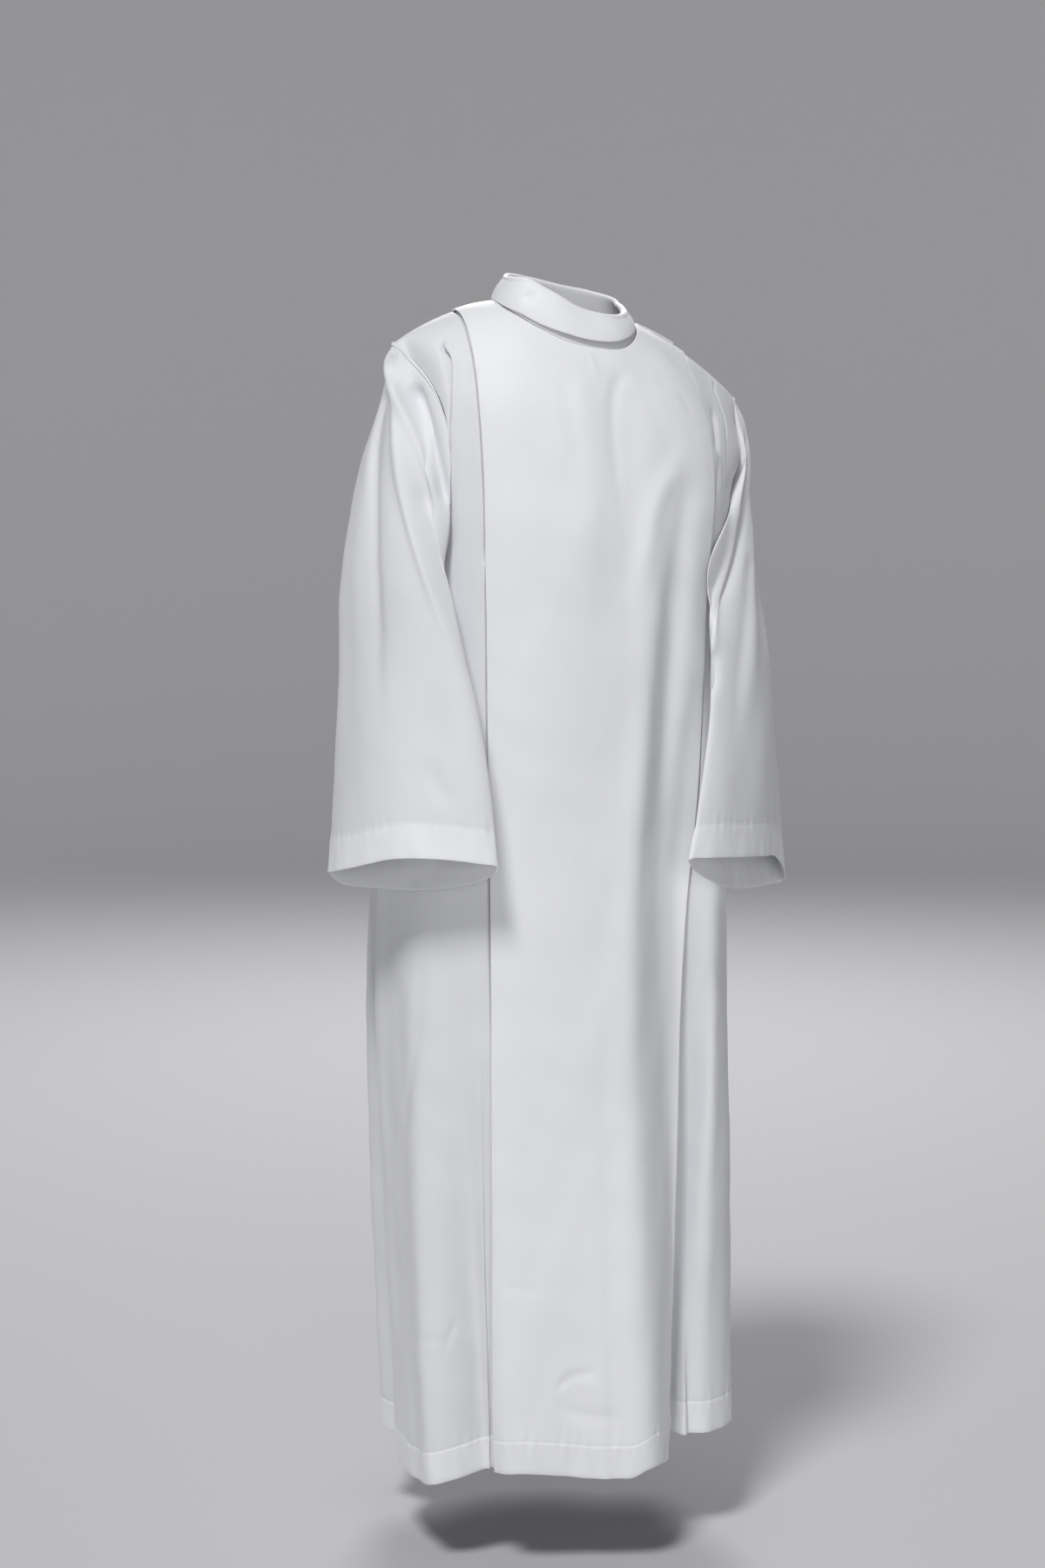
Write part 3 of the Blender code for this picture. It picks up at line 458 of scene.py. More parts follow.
# ---- the raised seam at the sleeve heads ----
WELTED = ("sleeve_right", "sleeve_left")
ROUND = WELTED + ("collar",)
RELAXED = 6  # softening passes on a sleeve
RELAX_SHARE = 0.6  # of the way to the neighbours in each pass
RELAX_ROWS = 5  # rows about the underarm that are softened on the front
SEAM_EASE = 0.008
SEAM_REACH = 0.0015
WELT = 0.0013
WELT_AT = 0.0034
WELT_WIDTH = 0.0026
WELT_GROOVE = 0.0009
WELT_LENGTH = 0.017

# ---- recess beside the centre panel's edges ----
RECESS = 0.0045
RECESS_WIDTH = 0.0018
RECESS_OUT = 0.0012
UNDERLAP_SINK = 0.0025
UNDERLAP_SINKS = (0.003, 0.010)  # from here to there behind the edge
Pleat = namedtuple("Pleat", "depth width top")  # how it deepens towards the hem
PLEATS = {
    "front_side_right": Pleat(0.015, 0.014, -0.60),
    "front_side_left": Pleat(0.042, 0.036, -0.50),
}

# ---- looks ----
SINGLE_WITH_PAINTED_SHADE = (0.755, 0.76, 0.785, 1.0)  # one layer of the cloth, greyed with painted shade of the dark hollow seen through it
DOUBLED = (0.83, 0.835, 0.85, 1.0)  # two layers: the centre panel, hems and collar
THREAD_COLOUR = (0.80, 0.80, 0.82, 1.0)
THREAD_ROUGHNESS = 0.5
ROUGHNESS = 0.52
SHEEN = 0.25
SHEEN_ROUGHNESS = 0.35
SPECULAR = 0.35
WEAVE_PITCH = 0.00055
WEAVE_HEIGHT = 0.00004
WEAVE_STRENGTH = 0.35


def smooth(low, high, value):
    share = np.clip((np.asarray(value, float) - low) / (high - low), 0.0, 1.0)
    return share * share * (3 - 2 * share)


def bump(away, width, power=2):
    return np.exp(-((away / width) ** power))


def read(rows, column, at):
    """The value of a column between a table's rows, on a smooth curve over its first column."""
    places = np.array([row[0] for row in rows], float)
    values = np.array([getattr(row, column) for row in rows], float)
    if places[0] > places[-1]:
        places, values = places[::-1], values[::-1]
    last = len(places) - 1
    low = np.maximum(np.arange(last + 1) - 1, 0)
    high = np.minimum(np.arange(last + 1) + 1, last)
    slopes = (values[high] - values[low]) / (places[high] - places[low])
    at = np.clip(np.asarray(at, float), places[0], places[-1])
    index = np.clip(np.searchsorted(places, at, side="right") - 1, 0, last - 1)
    span = places[index + 1] - places[index]
    share = (at - places[index]) / span
    square, cube = share**2, share**3
    return (
        values[index] * (2 * cube - 3 * square + 1)
        + slopes[index] * span * (cube - 2 * square + share)
        + values[index + 1] * (3 * square - 2 * cube)
        + slopes[index + 1] * span * (cube - square)
    )


def read_all(rows, columns, at):
    """Several columns, their names with spaces between them."""
    return [read(rows, column, at) for column in columns.split()]


def sine(angle):
    return np.sin(np.radians(angle))


def cosine(angle):
    return np.cos(np.radians(angle))


def turn(angle, centre):
    return (angle - centre + 180) % 360 - 180


def unit(vector):
    return vector / np.maximum(np.linalg.norm(vector, axis=-1, keepdims=True), 1e-12)


def points(x, y, z):
    return np.stack(np.broadcast_arrays(x, y, z), axis=-1)


def parts(p):
    return p[..., 0], p[..., 1], p[..., 2]


def fold_push(folds, angle, place, low_place=None):
    total = 0.0
    for fold in folds:
        end = fold.end if low_place is None else max(fold.end, low_place)
        centre = fold.angle + (fold.low_angle - fold.angle) * smooth(fold.top, end, place)
        strength = smooth(fold.top, fold.full, place) * (1 - smooth(fold.fade, fold.end, place))
        total = total + fold.depth * strength * bump(turn(angle, centre), fold.width)
    return total


def body_folds(angle, z):
    return fold_push(BODY_FOLDS, angle, z, HEM_Z)


def shoulder_z(x):
    return TOP_Z - SHOULDER_DROP * x * x


def angle_of(share, square):
    share = np.clip(share, -1.0, 1.0)
    return np.degrees(np.arcsin(np.sign(share) * np.abs(share) ** (square / 2)))


def ring_form(z, front=True):
    """The body's ring: its centre, its half width, its depth before or behind and its square."""
    centre, half, square, before, behind = read_all(BODY, "centre half_width square front back", z)
    return centre, half, np.where(front, before, behind), square


def ring_base(angle, z):
    angle, z = np.broadcast_arrays(np.asarray(angle, float), np.asarray(z, float))
    across, along = sine(angle), cosine(angle)
    centre, half, deep, square = ring_form(z, along >= 0)
    x = half * np.sign(across) * np.abs(across) ** (2 / square)
    y = -deep * np.sign(along) * np.abs(along) ** (2 / square)
    normal_x = np.sign(x) * np.abs(x / half) ** (square - 1) / half
    normal_y = np.sign(y) * np.abs(y / deep) ** (square - 1) / deep
    out = unit(np.stack([normal_x, normal_y], axis=-1)) * body_folds(angle, z)[..., None]
    rise = read(HEM, "rise", turn(angle, 0)) * smooth(HEM_EASE_Z, HEM_Z, z)
    return points(centre + x + out[..., 0], y + out[..., 1], z + rise)


def ring_point(angle, z, lift=0.0):
    """Points of the body's oval below the underarm, moved out by lift."""
    low, high = np.maximum(z - PROBE, HEM_Z), np.minimum(z + PROBE, UNDERARM_Z)
    across = ring_base(angle + PROBE_ANGLE, z) - ring_base(angle - PROBE_ANGLE, z)
    down = ring_base(angle, low) - ring_base(angle, high)
    return ring_base(angle, z) + unit(np.cross(down, across)) * np.asarray(lift)[..., None]


def rise_of(x, z):
    """The share of the way from the underarm up to the shoulder line."""
    return np.clip((z - UNDERARM_Z) / (shoulder_z(x) - UNDERARM_Z), 0.0, 1.0)


def upper_half(rise):
    return UNDERARM_HALF + (SHOULDER_HALF - UNDERARM_HALF) * rise**3


def armhole_x(side, rise):
    return upper_half(rise) * (1 - ARMHOLES[side].cut * np.sin(np.pi * rise))


def armhole_angle(side, rise):
    return angle_of(armhole_x(side, rise) / upper_half(rise), SQUARE)


def upper_x(angle, rise):
    return upper_half(rise) * sine(angle) ** (2 / SQUARE)


def upper_base(x, rise, side):
    x, rise = np.broadcast_arrays(np.asarray(x, float), np.asarray(rise, float))
    z = UNDERARM_Z + (shoulder_z(x) - UNDERARM_Z) * rise
    share = np.minimum(1.0, np.abs(x) / upper_half(rise))
    angle = angle_of(np.copysign(share, x), SQUARE)
    fold = body_folds(angle if side < 0 else 180 - angle, z)
    flat = (1 - share**SQUARE) ** (1 / SQUARE)
    arch = np.maximum(0.0, 1 - rise**DOME) ** (1 / DOME)
    return points(x, side * ((DEEP[side] * flat + fold) * arch + SEAM_GAP / 2), z)


def upper_point(x, rise, side, lift=0.0):
    """Points of the chest or back, moved out by lift; side is -1 for the front."""
    x, rise = np.broadcast_arrays(np.asarray(x, float), np.asarray(rise, float))
    middle = np.clip(rise, 2 * PROBE, 1 - 2 * PROBE)
    across = upper_base(x + PROBE, middle, side) - upper_base(x - PROBE, middle, side)
    down = upper_base(x, middle - PROBE, side) - upper_base(x, middle + PROBE, side)
    normal = unit(np.cross(down, across) * -side)
    top = (rise > TOP)[..., None]
    normal = np.where(top, unit(normal * np.array([1.0, 0.0, 1.0])), normal)
    return upper_base(x, rise, side) + normal * np.asarray(lift)[..., None]


def top_point(front, x, front_rise, back_rise, lift=0.0):
    """Points of the chest where front is true, and of the back elsewhere."""
    before = upper_point(x, np.minimum(front_rise, NEAR_TOP), -1, lift)
    behind = upper_point(x, np.minimum(back_rise, NEAR_TOP), 1, lift)
    return np.where(front[..., None], before, behind)


def dome_rise(x, forward, deep):
    """How far up the dome the cloth at x stands this far forward of its middle."""
    flat = (1 - (x / UNDERARM_HALF) ** SQUARE) ** (1 / SQUARE)
    return (1 - np.minimum(1.0, forward / (deep * flat)) ** DOME) ** (1 / DOME)


def neck_rise(x, side):
    """How far up the dome the neckline crosses the column at x; 1 outside the neck."""
    reach = NECK_FRONT if side < 0 else NECK_BACK
    x = np.abs(np.asarray(x, float))
    forward = reach * (1 - np.minimum(x / NECK_HALF, 1.0) ** NECK_SQUARE) ** (1 / NECK_SQUARE)
    return np.where(x >= NECK_HALF, 1.0, dome_rise(x, forward, DEEP[side]))


def rise_at(row, top=1.0):
    steep = np.arcsin(np.asarray(top, float) ** (DOME / 2))
    return np.sin(steep * (1 - row / CHEST_ROWS)) ** (2 / DOME)


def neck_column_rise(x, row, side):
    bell = np.maximum(0.0, 1 - (x / PANEL_HALF) ** 2) ** 2
    common = 1 - (1 - neck_rise(0.0, side)) * bell
    share = smooth(0, NECK_ROWS, row)
    return rise_at(row, neck_rise(x, side) * (1 - share) + common * share)


def neck_move(p):
    """The even neckline moved to its worn place, with the cloth around it."""
    x, y, z = parts(p)
    across, along = x / NECK_HALF, -y / np.where(y < 0, NECK_FRONT, NECK_BACK)
    angle = np.degrees(np.arctan2(across, along))
    share = 1 - smooth(1.0, NECK_REACH, np.hypot(across, along))
    share = share * smooth(NECK_LOW_Z, NECK_FULL_Z, z)
    return p + points(*read_all(NECK, "x y z", angle)) * share[..., None]


def seam_drift(p):
    """The left seam and the left armhole's edge moved off their even lines."""
    x, y, z = parts(p)
    edge = np.where(z > UNDERARM_Z, PANEL_HALF, read(BODY, "panel_left", z))
    before = smooth(0.0, -DRIFT_DEPTH, y)
    near = bump(x - edge, DRIFT_WIDTH) * before
    bowed = bump(x - armhole_x(1, rise_of(x, z)), BOW_WIDTH) * smooth(BOW_DEPTH, -BOW_DEPTH, y)
    return points(x + read(DRIFT, "x", z) * near + read(BOW, "x", z) * bowed, y, z)


def pose(p):
    """The worn form: the wearer's right side is held higher, most at the shoulders and the neck."""
    x, y, z = parts(seam_drift(neck_move(p)))
    near_neck = np.maximum(0.0, 1 - (x / SHOULDER_HALF) ** 2)
    near_neck = near_neck * smooth(NECK_TILT_NONE_Z, POSE_FULL_Z, z)
    slope = POSE_SLOPE * smooth(POSE_NONE_Z, POSE_FULL_Z, z) + NECK_TILT * near_neck
    return points(x, y, z - slope * x)


def front_angle(x, z):
    centre, half, _, square = ring_form(z)
    return angle_of((x - centre) / half, square)


def row_heights(start, end, step, fine_at):
    """Heights of rows from start to end, closer together beside a line of stitches."""
    coarse = np.linspace(start, end, int(abs(end - start) / step) + 1)
    coarse = coarse[(np.abs(coarse - fine_at) > STITCH_SPAN) | (coarse == end)]
    fine = np.arange(fine_at - STITCH_SPAN, fine_at + STITCH_SPAN, STITCH_STEP)
    found = np.unique(np.concatenate([coarse, fine]))
    return found if end > start else found[::-1]


chest = np.linspace(0, CHEST_ROWS, CHEST_STEPS + 1)[:, None]
skirt = row_heights(UNDERARM_Z, HEM_Z, SKIRT_STEP, HEM_Z + HEM_DEPTH)[1:, None]
below = (UNDERARM_Z - skirt) / (UNDERARM_Z - HEM_Z) * SKIRT_ROWS  # the solids' rows there


def panel_point(share, lift, low_lift):
    x = share * PANEL_HALF
    upper = upper_point(x, neck_column_rise(x, chest, -1), -1, lift)
    right, left = read(BODY, "panel_right", skirt), read(BODY, "panel_left", skirt)
    x = (right + left) / 2 + share * (left - right) / 2
    more = low_lift * smooth(UNDERARM_Z, HEM_Z, skirt) * np.ones_like(share)
    return np.concatenate([upper, ring_point(front_angle(x, skirt), skirt, lift + more)])


def pleat(edge, beside, below_edge, panel_edge):
    """The folded edge of the centre panel: half a turn, then back to the side panel."""
    backward = unit(below_edge - edge)
    inward = beside - edge
    inward = unit(inward - backward * np.sum(inward * backward, axis=-1, keepdims=True))
    target = (panel_edge - backward * PLEAT_GAP)[:, None]
    centre = (edge + backward * PLEAT_RADIUS)[:, None]
    a = np.linspace(0, math.pi, PLEAT_STEPS + 1)[1:][None, :, None]
    arc = centre - PLEAT_RADIUS * (backward[:, None] * np.cos(a) + inward[:, None] * np.sin(a))
    start = arc[:, -1:]
    bend = start + inward[:, None] * np.linalg.norm(target - start, axis=-1, keepdims=True) / 2
    s = np.linspace(0, 1, PLEAT_RUN_STEPS + 1)[1:][None, :, None]
    run = start * (1 - s) ** 2 + bend * 2 * s * (1 - s) + target * s * s
    return np.concatenate([arc, run], axis=1)


def side_grid(side):
    """A front side panel, from behind the centre panel to the armhole and the side seam."""
    share = np.linspace(0, 1, SIDE_COLUMNS + 1)[None, :] ** SIDE_CROWD
    rise = rise_at(chest)
    inner = angle_of((PANEL_HALF - UNDERLAP) / upper_half(rise), SQUARE)
    x = upper_x(inner + (armhole_angle(side, rise) - inner) * share, rise)
    upper = upper_point(side * (x - SEAM_GAP), rise, -1)
    panel = read(BODY, "panel_right" if side < 0 else "panel_left", skirt)
    inner = np.abs(front_angle(panel - side * UNDERLAP, skirt))
    angle = inner + (SIDE_SEAM - SIDE_PART - inner) * share
    return np.concatenate([upper, ring_point(side * angle, skirt)])


def centre_grid(right_side, left_side):
    shares = np.linspace(-PANEL_CROWD, PANEL_CROWD, PANEL_COLUMNS + 1)
    shares = np.sin(shares) / math.sin(PANEL_CROWD)
    face = panel_point(shares[None, :], LIFT, LIFT_LOW)
    base = panel_point(np.array([[-1.0, 1.0]]), 0.0, 0.0)
    right = pleat(face[:, 0], face[:, 1], base[:, 0], right_side[:, 0])
    left = pleat(face[:, -1], face[:, -2], base[:, 1], left_side[:, 0])
    return np.concatenate([right[:, ::-1], face, left], axis=1)


def back_lift(x, rise):
    near = smooth(PANEL_HALF + BACK_LIFT_EASE / 3, PANEL_HALF - BACK_LIFT_EASE, np.abs(x))
    return LIFT * near * smooth(BACK_LIFT_FROM, 1.0, rise)


def back_half(side):
    """Half of the back, from its side seam to the middle."""
    share = np.linspace(0, 1, BACK_COLUMNS + 1)[None, :-1]
    inner = float(angle_of(NECK_HALF / UNDERARM_HALF, SQUARE))
    rise = rise_at(chest)
    edge = armhole_angle(side, rise)
    x = upper_x(edge + (inner - edge) * share, rise)
    outer = upper_point(side * (x - SEAM_GAP), rise, 1, back_lift(x, rise))
    neck = side * NECK_HALF * np.sin(np.linspace(math.pi / 2, 0, BACK_NECK_COLUMNS + 1))[None, :]
    neck_rises = neck_column_rise(neck, chest, 1)
    upper = np.concatenate([outer, upper_point(neck, neck_rises, 1, back_lift(neck, neck_rises))], 1)
    start = SIDE_SEAM + SIDE_PART + SIDE_LAP * np.clip(below - 1, 0, 1)
    angle = start + (inner - start) * share
    sink = -SIDE_SINK * np.clip(below, 0, 1) * smooth(*SIDE_SINKS, angle)
    lower = ring_point(side * (180 - angle), skirt, sink)
    angle = angle_of(np.abs(neck) / UNDERARM_HALF, SQUARE) * np.ones_like(skirt)
    return np.concatenate([upper, np.concatenate([lower, ring_point(side * (180 - angle), skirt)], 1)])


def back_grid():
    return np.concatenate([back_half(1), back_half(-1)[:, ::-1][:, 1:]], axis=1)


def armhole_point(angle, mirror):
    rise = (1 + cosine(angle)) / 2
    x = mirror * armhole_x(mirror, rise)
    point = top_point(sine(angle) >= 0, x, rise, rise)
    return point * np.array([mirror, 1, 1]) + np.array([ARMHOLES[mirror].gap, 0, 0])


def sleeve_ring(rows, angle, down):
    angle, down = np.broadcast_arrays(angle, down)
    front_x, front_y, back_x, back_y = read_all(rows, "front_x front_y back_x back_y", down)
    outer_z, inner_z, outer, inner = read_all(rows, "outer_z inner_z outer inner", down)
    chord_x, chord_y = (front_x - back_x) / 2, (front_y - back_y) / 2
    out = unit(np.stack([-chord_y, chord_x], axis=-1))
    across, over = sine(angle), cosine(angle)
    lens = np.abs(over) ** (1 + (2 * CUFF_LENS - 1) * smooth(*LENS_GROWS, down))
    swell = np.sign(over) * lens * np.where(over >= 0, outer, inner)
    z = (outer_z + inner_z) / 2 + (outer_z - inner_z) / 2 * over
    z = z + CUFF_TILT * across * smooth(TILT_FROM, 1.0, down)
    x = (front_x + back_x) / 2 + chord_x * across + out[..., 0] * swell
    y = (front_y + back_y) / 2 + chord_y * across + out[..., 1] * swell
    return points(x, y, z), out


def clear_of_body(p, mirror, share):
    x, y, z = parts(p)
    centre, half, deep, square = ring_form(z, y < 0)
    centre, half, deep = mirror * centre, half + SLEEVE_CLEAR * share, deep + SLEEVE_CLEAR * share
    size = (np.abs((x - centre) / half) ** square + np.abs(y / deep) ** square) ** (1 / square)
    inside = (z <= UNDERARM_Z) & (size < 1)
    size = np.where(inside, np.maximum(size, 0.3), 1.0)
    grow = 1 + (1 / size - 1) * smooth(0.0, CLEAR_EASE, UNDERARM_Z - z)
    return points(centre + (x - centre) * grow, y * grow, z)


def lap_over(p, mirror, angle, down):
    """The front edge moved over the side panel, and kept in front of it."""
    away = turn(angle, LAP_ANGLE + LAP_TURN[mirror] * (1 - smooth(0.0, LAP_TURN_END, down)))
    near = bump(away, np.where(away < 0, LAP_OUTER, LAP_INNER))
    p = p + points(*read_all(LAPS[mirror], "x y", down), 0.0) * near[..., None]
    x, y, z = parts(p * np.array([mirror, 1, 1]))
    rise = rise_of(x, z)
    gap = LAP_GAP * smooth(0.0, CLEAR_GROWS[0], down)
    gap = gap + (SLEEVE_CLEAR - LAP_GAP) * smooth(*CLEAR_GROWS, down)
    over = smooth(0.0, LAP_EASE, armhole_x(mirror, rise) - np.abs(x))
    over = over * smooth(*LAP_END, np.abs(away))
    above = upper_base(x, rise, -1)[..., 1]
    centre, half, deep, square = ring_form(z)
    across = np.minimum(np.abs(x - centre) / half, 0.999)
    under = -deep * (1 - across**square) ** (1 / square)
    front = np.where(z > UNDERARM_Z, above, under) - gap
    return points(mirror * x, y + (np.minimum(y, front) - y) * over, z)


def sleeve_grid(mirror):
    """The sleeve from the armhole to the cuff, as rings; mirror is -1 on the right."""
    rows = SLEEVES[mirror]
    start = np.linspace(0, SEAM_SHARE, SEAM_STEPS + 1)[:-1]
    rest = SEAM_SHARE + (1 - SEAM_SHARE) * np.linspace(0, 1, SLEEVE_STEPS + 1) ** SLEEVE_CROWD
    down = np.concatenate([start, rest])[:, None]
    angle = np.linspace(0, 360, SLEEVE_COLUMNS + 1)[None, :-1]
    point, out = sleeve_ring(rows, angle, down)
    start, _ = sleeve_ring(rows, angle, np.zeros_like(down))
    fitted = (1 - smooth(0.0, FITTED_END, down))[..., None]
    point = point + (armhole_point(angle, mirror) - start) * fitted
    over = cosine(angle)
    push = fold_push(SLEEVE_FOLDS[mirror], angle, down) * np.where(over >= 0, 1, -1)
    point[..., :2] += out * push[..., None]
    head = smooth(0.0, CAP_TOP, down) * (1 - smooth(CAP_TOP, CAP_END, down))
    point[..., 2] += CAP_RISE * head * np.maximum(0.0, over) ** 2
    point[..., 2] += read(CUFFS[mirror], "rise", angle) * smooth(CUFF_RISE_TOP, 1.0, down)
    point = lap_over(point, mirror, angle, down)
    point = clear_of_body(point, mirror, smooth(*CLEAR_GROWS, down))
    point = point * np.array([mirror, 1, 1])
    return point if mirror < 0 else point[:, ::-1]


def neck_point(angle, lift):
    x = NECK_HALF * sine(angle) * NECK_EDGE
    return top_point(cosine(angle) >= 0, x, neck_rise(x, -1), neck_rise(x, 1), lift)


def collar_grid():
    """Sections from the neckline up inside, over the rolled top and down the fall."""
    angle = np.linspace(0, 360, COLLAR_COLUMNS + 1)[:-1]
    foot = neck_point(angle, LIFT + 3 * SEAM_GAP)
    out = (foot - np.array([0.0, (NECK_BACK - NECK_FRONT) / 2, 0.0])) * np.array([1, 1, 0])
    out, up = unit(out), np.array([0.0, 0.0, 1.0])
    rim, lean, drop, spread = read_all(COLLAR, "rim lean drop spread", turn(angle, 0)[:, None])
    inside = foot - out * (lean + COLLAR_CLOTH)
    inside[:, 2:] = rim
    roll = inside + out * COLLAR_ROLL - up * COLLAR_ROLL
    turns = np.linspace(0, math.pi, ROLL_STEPS + 1)
    top = [roll + COLLAR_ROLL * (out * math.cos(a) + up * math.sin(a)) for a in turns]
    low = top[0] + out * spread - up * (drop - COLLAR_ROLL)
    fall = [
        low + (top[0] - low) * s + out * FALL_BULGE * math.sin(math.pi * s)
        for s in np.linspace(0, 1, FALL_STEPS + 1)[:-1]
    ]
    bottom = foot - out * COLLAR_CLOTH + up * 2 * SEAM_GAP
    rises = np.linspace(0, 1, STAND_STEPS + 1)[1:]
    stand = [top[-1] + (bottom - top[-1]) * s for s in rises]
    return np.array((fall + top + stand)[::-1])


def placket_grid():
    y = np.linspace(PLACKET_HALF_WIDTH, -PLACKET_HALF_WIDTH, PLACKET_ROWS + 1)[:, None]
    x = np.linspace(PLACKET_START, PLACKET_END, PLACKET_COLUMNS + 1)[None, :]
    rise = dome_rise(x, np.abs(y), np.where(y > 0, DEEP[1], DEEP[-1]))
    return top_point(y <= 0, x, rise, rise, LIFT + PLACKET_CLOTH + 2 * SEAM_GAP)


# ---- the camera, solved from the photograph ----
def add_object(name, data):
    thing = bpy.data.objects.new(name, data)
    bpy.context.scene.collection.objects.link(thing)
    return thing


def aim(thing, place, at):
    thing.location = place
    thing.rotation_euler = (Vector(at) - Vector(place)).to_track_quat("-Z", "Y").to_euler()


camera = add_object("camera", bpy.data.cameras.new("camera"))
camera.data.sensor_fit, camera.data.sensor_height = "VERTICAL", SENSOR_HEIGHT
camera.data.lens = LENS
aim(camera, CAMERA_PLACE, CAMERA_AIM)
bpy.context.scene.camera = camera


# ---- creases, unevenness and bands ----
def spline(path):
    """A soft curve through a path's points."""
    path = np.asarray(path, float)
    ends = np.concatenate([[2 * path[0] - path[1]], path, [2 * path[-1] - path[-2]]])
    t = np.linspace(0, len(path) - 1, PATH_STEPS + 1)
    i = np.minimum(t.astype(int), len(path) - 2)
    t = (t - i)[:, None]
    a, b, c, d = ends[i], ends[i + 1], ends[i + 2], ends[i + 3]
    return 0.5 * (
        2 * b + (c - a) * t + (2 * a - 5 * b + 4 * c - d) * t**2 + (3 * b - a - 3 * c + d) * t**3
    )


def normals(grid, wrap):
    down = np.gradient(grid, axis=0)
    if wrap:
        across = np.roll(grid, -1, axis=1) - np.roll(grid, 1, axis=1)
    else:
        across = np.gradient(grid, axis=1)
    return unit(np.cross(down, across))


def on_cloth(tree, pixel):
    """Where the photograph's line of sight through a pixel meets the cloth, or passes nearest."""
    across, down = (np.array(pixel) - PHOTO_SIZE / 2) * camera.data.sensor_height / PHOTO_SIZE[1]
    ray = camera.matrix_basis.to_3x3() @ Vector((across, -down, -camera.data.lens)).normalized()
    hit = tree.ray_cast(camera.location, ray)[0]
    if hit is None:
        reach = np.linspace(*SIGHT_REACH, SIGHT_STEPS)
        found = [tree.find_nearest(camera.location + ray * distance) for distance in reach]
        hit = min(found, key=lambda near: near[3])[0]
    return hit


def crease_paths():
    """Each crease's path, laid on the posed cloth of its piece."""
    paths = {}
    for name, creases in CREASES.items():
        grid = pose(grids[name])
        quads = cells(*grid.shape[:2], False, name in ROUND)[2]
        tree = BVHTree.FromPolygons(grid.reshape(-1, 3).tolist(), quads.tolist())
        for crease in creases:
            paths[crease.name] = spline([on_cloth(tree, pixel) for pixel in crease.path])
    return paths


def crease_shift(p, normal, crease):
    """The move of each point for one crease: a trough or ridge, and a step if one side laps."""
    path = paths[crease.name]
    best = np.full(p.shape[:-1], np.inf)
    share, side = np.zeros_like(best), np.zeros_like(best)
    across = np.zeros_like(p)
    for k in range(PATH_STEPS):
        along = path[k + 1] - path[k]
        t = np.clip(((p - path[k]) @ along) / (along @ along), 0, 1)
        away = p - path[k] - t[..., None] * along
        distance = np.linalg.norm(away, axis=-1)
        closer = distance < best
        best = np.where(closer, distance, best)
        share = np.where(closer, (k + t) / PATH_STEPS, share)
        right = np.cross(np.broadcast_to(along, p.shape), away)
        side = np.where(closer, np.sign(np.sum(right * normal, axis=-1)), side)
        beside = unit(np.cross(normal, np.broadcast_to(along, p.shape)))
        across = np.where(closer[..., None], beside, across)
    s = best * side / crease.width
    taper = smooth(0, crease.start, share) * (1 - smooth(1 - crease.finish, 1, share))
    push = crease.depth * bump(s, 1) + crease.step * s * np.exp((1 - s * s) / 2)
    shift = normal * (push * taper)[..., None]
    if crease.step:
        raised = math.copysign(1.0, crease.step)
        tuck = crease.width * TUCK * bump(s - raised, 1) * taper
        shift = shift - across * (raised * tuck)[..., None]
    return shift


def unevenness(p):
    """A soft, irregular rise and fall of the cloth, the same for pieces that meet."""
    random = np.random.default_rng(SEED)
    total = np.zeros(p.shape[:-1])
    for wave in WAVES:
        for _ in range(3):
            a, b = unit(random.normal(size=(2, 3)) * WAVE_LEAN) * math.tau / wave.length
            shift = random.uniform(0, math.tau, 2)
            total += wave.height / 3 * np.sin(p @ a + shift[0]) * np.sin(p @ b + shift[1]) * 2
    return total


def ripple(along, length):
    """An uneven ripple along a seam."""
    t = math.tau * along / length
    slow = 0.6 + 0.4 * np.sin(t * 0.21 + 1.0)
    return slow * (0.6 * np.sin(t) + 0.4 * np.sin(t * 0.618 + 2.0))


def run_along(grid, axis):
    """Distances along a grid's rows or columns."""
    steps = np.linalg.norm(np.diff(grid, axis=axis), axis=-1)
    start = np.zeros_like(steps[:1] if axis == 0 else steps[:, :1])
    return np.concatenate([start, np.cumsum(steps, axis=axis)], axis=axis)


def band_push(grid, depth):
    """For a turned-up hem at the last row: its push, its doubled share and its stitch row."""
    from_top = run_along(grid, 0)
    up = from_top[-1:] - from_top
    row = int(np.argmin(np.abs(up.mean(axis=1) - depth)))
    along = run_along(grid, 1)[row][None, :]
    doubled = smooth(depth + GROOVE_WIDTH, depth - GROOVE_WIDTH, up)
    pucker = PUCKER * ripple(along, PUCKER_LENGTH) * bump(up - depth, PUCKER_REACH)
    low = PUCKER * ripple(along + 0.3, EDGE_LENGTH) * smooth(depth, 0.0, up)
    groove = GROOVE * bump(up - depth, GROOVE_WIDTH)
    return BAND_PROUD * doubled - groove + pucker + low, doubled, row


# ---- meshes ----
def cells(rows, columns, round_rows, round_columns):
    """The row, column and four corners of each cell of a grid, closed round where asked."""
    down, across = np.arange(rows - (not round_rows)), np.arange(columns - (not round_columns))
    i, j = (part.ravel() for part in np.meshgrid(down, across, indexing="ij"))
    i2, j2 = (i + 1) % rows, (j + 1) % columns
    corners = [i * columns + j, i2 * columns + j, i2 * columns + j2, i * columns + j2]
    return i, j, np.stack(corners, 1)


def build(name, corners, faces):
    """A smooth mesh object from an array of corners and each face's list of their numbers."""
    mesh = bpy.data.meshes.new(name)
    mesh.from_pydata(corners.reshape(-1, 3).tolist(), [], faces)
    mesh.shade_smooth()
    return add_object(name, mesh)


